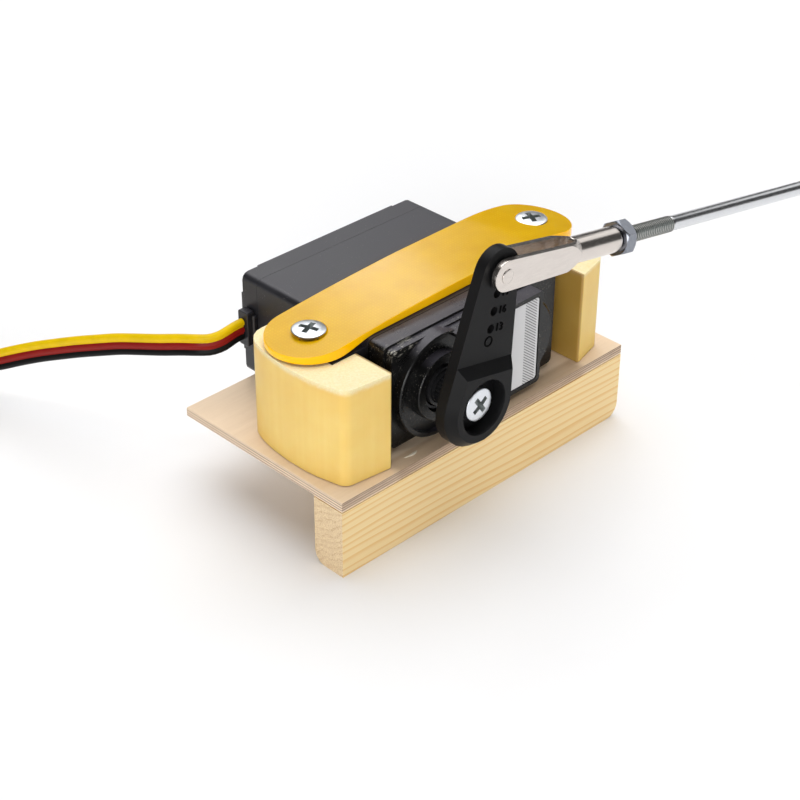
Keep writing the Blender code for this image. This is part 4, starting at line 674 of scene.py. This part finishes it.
def make_strap():
    """A flat bar with round ends, countersunk for its screws and pulled down past the case."""
    ends = [sum(node_box(n), Vector()) / 2 for n in ("strap_screw_left", "strap_screw_right")]
    run = (ends[1] - ends[0]).xy
    span, top = run.length, node_box("clamp_strap")[1].z
    bm = round_bar(STRAP_HALF, span, STRAP_THICK, STRAP_END_POINTS)
    rounded_off(bm, STRAP_ROUND, segments=3)
    for k in range(-STRAP_CUTS_PAST, STRAP_CUTS + STRAP_CUTS_PAST + 1):
        bmesh.ops.bisect_plane(bm, geom=[*bm.verts, *bm.edges, *bm.faces],
                               plane_co=(span * k / STRAP_CUTS, 0, 0), plane_no=(1, 0, 0))
    for vert in bm.verts:
        lies = strap_lean if vert.co.z > STRAP_THICK / 2 else strap_drop
        vert.co.z += top - STRAP_THICK - lies(vert.co.x - span / 2, span / 2)
    spun(bm, math.degrees(math.atan2(run.y, run.x)), "Z")
    bmesh.ops.translate(bm, vec=(ends[0].x, ends[0].y, 0), verts=bm.verts)
    sinks = []
    for end, across in zip(ends, (-span / 2, span / 2)):
        level = top - strap_lean(across, span / 2)
        sink = turned([(0, level + SINK_ABOVE), (STRAP_SINK_R, level + SINK_ABOVE),
                       (STRAP_SINK_R, level + SINK_LIP), (STRAP_HOLE_R, level - STRAP_SINK),
                       (STRAP_HOLE_R, level - SINK_BELOW), (0, level - SINK_BELOW)])
        bmesh.ops.translate(sink, vec=(end.x, end.y, 0), verts=sink.verts)
        sinks.append(sink)
    piece("strap_laminate", carved(bm, "DIFFERENCE", *sinks), CASE, "glass_fibre", ["clamp_strap"])


# Arm and linkage


def arm_place(along, side, y):
    """A place on the arm as a matrix: x across the arm, y along it, z out of its front."""
    run = (CLEVIS_PIN - OUTPUT_AXIS).xz.normalized()
    up, across, out = Vector((run.x, 0, run.y)), Vector((run.y, 0, -run.x)), Vector((0, -1, 0))
    spot = Vector((OUTPUT_AXIS.x, y, OUTPUT_AXIS.z)) + up * along + across * side
    return Matrix.Translation(spot) @ Matrix((across, up, out)).transposed().to_4x4()


def make_arm_marks():
    """The hole distances beside the holes and a mould ring, raised on the blade's front."""
    front = node_box("servo_arm")[0].y + BLADE_SINK
    marks = bmesh.new()
    for at in ARM_HOLES_AT:
        text = bpy.data.curves.new("numeral", "FONT")
        text.body = str(at)
        text.size = NUMERAL_SIZE
        text.extrude = NUMERAL_RISE
        text.align_x, text.align_y = "CENTER", "CENTER"
        holder = bpy.data.objects.new("numeral", text)
        bpy.context.collection.objects.link(holder)
        made = holder.evaluated_get(bpy.context.evaluated_depsgraph_get())
        shape = bpy.data.meshes.new_from_object(made)
        shape.transform(arm_place(at, NUMERAL_SIDE, front))
        marks.from_mesh(shape)
        bpy.data.objects.remove(holder)
    ring = bmesh.new()
    stood = Matrix.Translation((MOULD_RING_R, 0, 0)) @ Matrix.Rotation(math.pi / 2, 4, "X")
    section = bmesh.ops.create_circle(ring, radius=MOULD_RING_TUBE, segments=8, matrix=stood)
    bmesh.ops.spin(ring, geom=section["verts"] + ring.edges[:], cent=(0, 0, 0), axis=(0, 0, 1),
                   angle=2 * math.pi, steps=32, use_merge=True)
    bmesh.ops.remove_doubles(ring, verts=ring.verts, dist=NEAR)
    bmesh.ops.recalc_face_normals(ring, faces=ring.faces)
    bmesh.ops.transform(ring, matrix=arm_place(MOULD_RING_AT, 0, front), verts=ring.verts)
    bmesh.ops.remove_doubles(marks, verts=marks.verts, dist=NEAR)
    # The marks take the darker arm_mark finish, which is painted shade.
    piece("arm_marks", joined(marks, ring), OUTPUT, "arm_plastic", finishes=["arm_mark"])


def make_pushrod():
    """A rolled thread that winds up to the plain rod."""
    thread = bmesh.new()
    tooth = ((THREAD_ROOT_R, 0.0), (THREAD_R, CREST_FROM), (THREAD_R, CREST_TO), (THREAD_ROOT_R, 1.0))
    points = [thread.verts.new((r, 0.0, h * THREAD_PITCH)) for r, h in tooth]
    edges = [thread.edges.new(pair) for pair in zip(points, points[1:])]
    turns = int((THREAD_TO - THREAD_FROM) / THREAD_PITCH) - 1
    bmesh.ops.spin(thread, geom=points + edges, cent=(0, 0, 0), axis=(0, 0, 1), angle=2 * math.pi * turns,
                   steps=turns * THREAD_STEPS, dvec=(0, 0, THREAD_PITCH / THREAD_STEPS))
    bmesh.ops.remove_doubles(thread, verts=thread.verts, dist=THREAD_NEAR)
    bmesh.ops.holes_fill(thread, edges=[e for e in thread.edges if e.is_boundary])
    bmesh.ops.recalc_face_normals(thread, faces=thread.faces)
    bmesh.ops.translate(thread, vec=(0, 0, THREAD_FROM), verts=thread.verts)
    run = ROD_END - CLEVIS_PIN
    start, crest = THREAD_TO - RUNOUT, THREAD_R - RUNOUT_WEAR
    runout = [(0, start), (THREAD_ROOT_R, start), (crest, start + RUNOUT_FROM), (crest, start + RUNOUT_TO)]
    plain = [(ROD_R, THREAD_TO), (ROD_R, run.length - ROD_CHAMFER), (ROD_R - ROD_CHAMFER, run.length),
             (0, run.length)]
    rod = turned(runout + plain, steps=40)
    # Painted shade: flanks facing down take the dark zinc, and the rest a steel darker than the plain rod's.
    for face in thread.faces:
        face.material_index = 2 if face.normal.z < SHADED_FLANK else 1
    piece("threaded_rod", seated(joined(rod, thread), CLEVIS_PIN, run), LINKAGE, "steel", ["pushrod"],
          ["steel", "thread_steel", "painted_shade_zinc"], sharp=40.0)


def make_clevis():
    """Two milled legs that run into a turned barrel, the far leg's nose a little shorter."""
    up = Vector((-ROD_RUN.z, 0, ROD_RUN.x))
    place = Matrix.Translation(CLEVIS_PIN) @ Matrix((ROD_RUN, up, Vector((0, -1, 0)))).transposed().to_4x4()
    fork = round_bar(CLEVIS_NOSE_R, CLEVIS_LEG, 2 * CLEVIS_HALF, 48)
    bmesh.ops.translate(fork, vec=(0, 0, -CLEVIS_HALF), verts=fork.verts)
    root = [v for v in fork.verts if v.co.x > CLEVIS_LEG / 2]
    bmesh.ops.scale(fork, vec=(1, CLEVIS_ROOT_HALF / CLEVIS_NOSE_R, 1), verts=root)
    slot = spun(round_bar(CLEVIS_SLOT, SLOT_LENGTH, SLOT_DEPTH, 32), 90, "X")
    slot_from = CLEVIS_LEG - CLEVIS_SLOT - SLOT_LENGTH
    bmesh.ops.translate(slot, vec=(slot_from, SLOT_DEPTH / 2, 0), verts=slot.verts)
    trim = bmesh.new()
    bmesh.ops.create_cube(trim, size=TRIM_SIZE)
    bmesh.ops.translate(trim, vec=TRIM_AT, verts=trim.verts)
    spun(trim, TRIM_TURN, "Z")
    for each in (fork, slot, trim):
        bmesh.ops.transform(each, matrix=place, verts=each.verts)
    outlines = ((SHOULDER, 64), (BARREL, 64), (BORE, 40))
    shoulder, barrel, bore = (seated(turned(line, steps), CLEVIS_PIN, ROD_RUN) for line, steps in outlines)
    eye = seated(turned(EYE, steps=32), CLEVIS_PIN, (0, 1, 0))
    legs = carved(carved(fork, "DIFFERENCE", slot, trim), "INTERSECT", shoulder)
    bm = carved(carved(legs, "UNION", barrel), "DIFFERENCE", bore, eye)
    milled = {v for v in bm.verts if (v.co - CLEVIS_PIN).dot(ROD_RUN) < CLEVIS_ROUND_TO}
    edges = [e for e in bm.edges if milled.issuperset(e.verts)]
    rounded_off(bm, CLEVIS_ROUND, sharp=40.0, among=edges)
    piece("clevis_milled", bm, LINKAGE, "nickel", ["clevis"], sharp=16.0)


def seat_pin():
    """The clevis pin with its head set flat on the leg."""
    bm = node_copy("clevis_pin")
    bmesh.ops.translate(bm, vec=(0, PIN_SEAT, 0), verts=bm.verts)
    piece("clevis_pin_seated", rounded_off(bm, PIN_ROUND), LINKAGE, "nickel", ["clevis_pin"])


# Case


def make_label():
    """A film with rounded corners in the label recess."""
    foot, head = OUTPUT_AXIS.z - LABEL_HALF + LABEL_INSET, OUTPUT_AXIS.z + LABEL_HALF - LABEL_INSET
    low = Vector((LABEL_LEFT + LABEL_INSET, LABEL_FLOOR - LABEL_THICK, foot))
    high = Vector((LABEL_RIGHT - LABEL_INSET, LABEL_FLOOR - LABEL_GAP, head))
    bm = bmesh.new()
    bmesh.ops.create_cube(bm, size=1.0)
    bmesh.ops.scale(bm, vec=high - low, verts=bm.verts)
    bmesh.ops.translate(bm, vec=(high + low) / 2, verts=bm.verts)
    corners = [e for e in bm.edges if abs((e.verts[0].co - e.verts[1].co).normalized().y) > 0.9]
    bmesh.ops.bevel(bm, geom=corners, offset=LABEL_CORNER, segments=5, profile=0.5, affect="EDGES",
                    material=-1)
    rounded_off(bm, LABEL_ROUND, segments=1, sharp=60.0)
    piece("label_film", bm, CASE, "case_plastic", finishes=["label"])


def make_glue():
    """A short string of dried glue in front of the case."""
    bm = bmesh.new()
    bmesh.ops.create_icosphere(bm, subdivisions=4, radius=1.0)
    for vert in bm.verts:
        x, y, z = vert.co
        swell = 1.0 + GLUE_SWELL * math.sin(GLUE_WAVES * x + GLUE_PHASE)
        vert.co = Vector((x, y * swell + GLUE_BOW * x ** 2, max(z * swell, GLUE_FLAT)))
    bmesh.ops.scale(bm, vec=GLUE_SIZE, verts=bm.verts)
    bmesh.ops.translate(bm, vec=GLUE_SPOT, verts=bm.verts)
    piece("glue_string", bm, CASE, "resin", finishes=["glue"])


# Lead


def smooth_route(points, step):
    """Points at an even step along a smooth curve through a route."""
    path = [Vector(p) for p in points]
    ends = [path[0] * 2 - path[1]] + path + [path[-1] * 2 - path[-2]]
    fine = []
    for a, b, c, d in zip(ends, ends[1:], ends[2:], ends[3:]):
        for k in range(SPAN_POINTS):
            t = k / SPAN_POINTS
            fine.append(0.5 * (2 * b + (c - a) * t + (2 * a - 5 * b + 4 * c - d) * t * t
                               + (3 * b - a - 3 * c + d) * t ** 3))
    fine.append(path[-1])
    out, run = [fine[0]], 0.0
    for a, b in zip(fine, fine[1:]):
        run += (b - a).length
        if run >= step:
            out.append(b)
            run = 0.0
    out[-1] = fine[-1]
    return out


def coil_path():
    """The stored length: a flat spiral inwards, then a curl across the middle to the plug."""
    path = []
    steps = round(LOOP_POINTS * COIL_TURNS)
    for k in range(1, steps + 1):
        angle = 2 * math.pi * k / LOOP_POINTS
        radius = COIL_OUTER_R - COIL_PITCH * k / LOOP_POINTS
        spot = COIL_CENTRE + radius * Vector((math.cos(angle), math.sin(angle)))
        path.append(Vector((*spot, COIL_Z)))
    curl_centre = path[-1] + Vector((CURL_R, 0, 0))
    for k in range(1, CURL_POINTS + 1):
        angle = math.pi + math.pi / 2 * k / CURL_POINTS
        rise = (PLUG_Z - COIL_Z) * (1 - math.cos(math.pi * k / CURL_POINTS)) / 2
        path.append(curl_centre + Vector((CURL_R * math.cos(angle), CURL_R * math.sin(angle), rise)))
    path.append(path[-1] + Vector((COIL_TAIL, 0, 0)))
    return path


def wire_section():
    """The ribbon's outline as (across, up, wire) from its middle: black below, red, yellow on top."""
    points = []
    for side in (1, -1):
        for wire, angles in zip((-side, 0, side), WIRE_ARCS):
            for angle in angles:
                t = math.radians(angle)
                across = side * WIRE_R * math.cos(t)
                up = wire * WIRE_PITCH + side * WIRE_R * math.sin(t)
                points.append((across, up, wire + 1))
    return points


def make_lead():
    """The ribbon lead from the strain relief to its plug, each wire in its own colour."""
    path = smooth_route(LEAD_ROUTE, LEAD_STEP) + coil_path()
    section = wire_section()
    bm = bmesh.new()
    middle = [(b - a).normalized() for a, b in zip(path, path[2:])]
    rings = []
    for point, tangent in zip(path, [Vector((-1, 0, 0)), *middle, Vector((1, 0, 0))]):
        across = tangent.cross(Vector((0, 0, 1))).normalized()
        up = across.cross(tangent)
        rings.append([bm.verts.new(point + across * a + up * b) for a, b, _ in section])
    for one, other in zip(rings, rings[1:]):
        for k, (_, _, wire) in enumerate(section):
            low, high = k, (k + 1) % len(section)
            face = bm.faces.new((one[low], one[high], other[high], other[low]))
            face.material_index = wire
    for ring in (rings[0], rings[-1]):
        bm.faces.new(ring)
    bmesh.ops.recalc_face_normals(bm, faces=bm.faces)
    lead = piece("ribbon_lead", bm, CASE, "lead_pvc", ["servo_lead", "lead_coil"],
                 ["lead_black", "lead_red", "lead_yellow"], sharp=60.0)
    line = [p * MM for p in path]
    length = sum((b - a).length for a, b in zip(line, line[1:]))


# Stage


def place_camera():
    """The photograph's camera."""
    turn, rise, roll = (math.radians(a) for a in (VIEW_TURN, VIEW_RISE, VIEW_ROLL))
    aim = Matrix.Rotation(turn, 4, "Z") @ Matrix.Rotation(math.pi / 2 - rise, 4, "X")
    aim = aim @ Matrix.Rotation(roll, 4, "Z")
    camera = bpy.data.objects.new("camera", bpy.data.cameras.new("camera"))
    camera.data.lens = VIEW_LENS
    camera.data.sensor_width = VIEW_SENSOR
    camera.data.clip_start = VIEW_NEAR * MM
    away = aim.col[2].xyz * VIEW_DISTANCE
    camera.matrix_world = Matrix.Translation((VIEW_TARGET + away) * MM) @ aim
    bpy.context.collection.objects.link(camera)
    bpy.context.scene.camera = camera


def dome_light(name, azimuth, elevation, spread, strength):
    """A round soft source far away: where it stands, how wide it looks and how strong it is."""
    lamp = bpy.data.lights.new(name, "SUN")
    lamp.angle = math.radians(spread)
    lamp.energy = strength
    turn, rise = math.radians(azimuth), math.radians(elevation)
    towards = Vector((math.cos(turn) * math.cos(rise), math.sin(turn) * math.cos(rise), math.sin(rise)))
    light = bpy.data.objects.new(name, lamp)
    light.rotation_euler = towards.to_track_quat("Z", "Y").to_euler()
    bpy.context.collection.objects.link(light)


def make_stage():
    """A pale floor, a faint sky and soft lights."""
    bm = bmesh.new()
    bmesh.ops.create_grid(bm, x_segments=1, y_segments=1, size=FLOOR_HALF)
    mesh = bpy.data.meshes.new("floor")
    bm.to_mesh(mesh)
    bm.free()
    paper = bpy.data.materials.new("floor_paper")
    paper.use_nodes = True
    shader = paper.node_tree.nodes["Principled BSDF"]
    shader.inputs["Base Color"].default_value = FLOOR_COLOUR
    shader.inputs["Roughness"].default_value = FLOOR_ROUGHNESS
    mesh.materials.append(paper)
    floor = bpy.data.objects.new("floor", mesh)
    bpy.context.collection.objects.link(floor)

    world = bpy.data.worlds.new("studio")
    world.use_nodes = True
    sky = world.node_tree.nodes["Background"]
    sky.inputs["Color"].default_value = SKY_COLOUR
    sky.inputs["Strength"].default_value = SKY_STRENGTH
    bpy.context.scene.world = world
    for light in LIGHTS:
        dome_light(*light)
    bpy.context.scene.view_settings.view_transform = "Standard"


def dress_nodes():
    """Every CAD node keeps its mesh and takes its finish from its slot, or one of its own."""
    for entry in frame["record"]["subparts"]:
        node = frame["nodes"][entry["node"]]
        made = FINISHES.get(OWN_FINISH.get(entry["node"], entry["material_slot"]))
        if made:
            node.data.materials.clear()
            node.data.materials.append(made)


place_camera()
make_stage()
dress_nodes()
make_lead()
make_strap()
make_screw("strap_screw_left", CASE, STRAP_SCREW, axis=(0, 0, 1), turn=20.0)
make_screw("strap_screw_right", CASE, STRAP_SCREW, axis=(0, 0, 1), turn=-25.0)
make_screw("arm_screw", OUTPUT, ARM_SCREW, axis=(0, -1, 0), turn=35.0)
make_arm_marks()
make_pushrod()
make_label()
make_glue()
for name, slot, width in (("base_board", "plywood", 0.12), ("bearer_rail", "pine", 0.35),
                          ("left_block", "resin", 0.3), ("right_block", "resin", 0.3),
                          ("strain_relief", "case_plastic", 0.2)):
    eased(name, CASE, slot, width)
eased("gear_case", CASE, "case_plastic", width=0.18, finish_name="gear_case_plastic")
eased("middle_case", CASE, "case_plastic", width=0.2, seam=node_box("middle_case")[1].y)
closed_cover()
eased("servo_arm", OUTPUT, "arm_plastic", width=0.16, sharp=20.0)
make_clevis()
seat_pin()
eased("lock_nut", LINKAGE, "zinc", width=0.08, finish_name="blue_zinc")
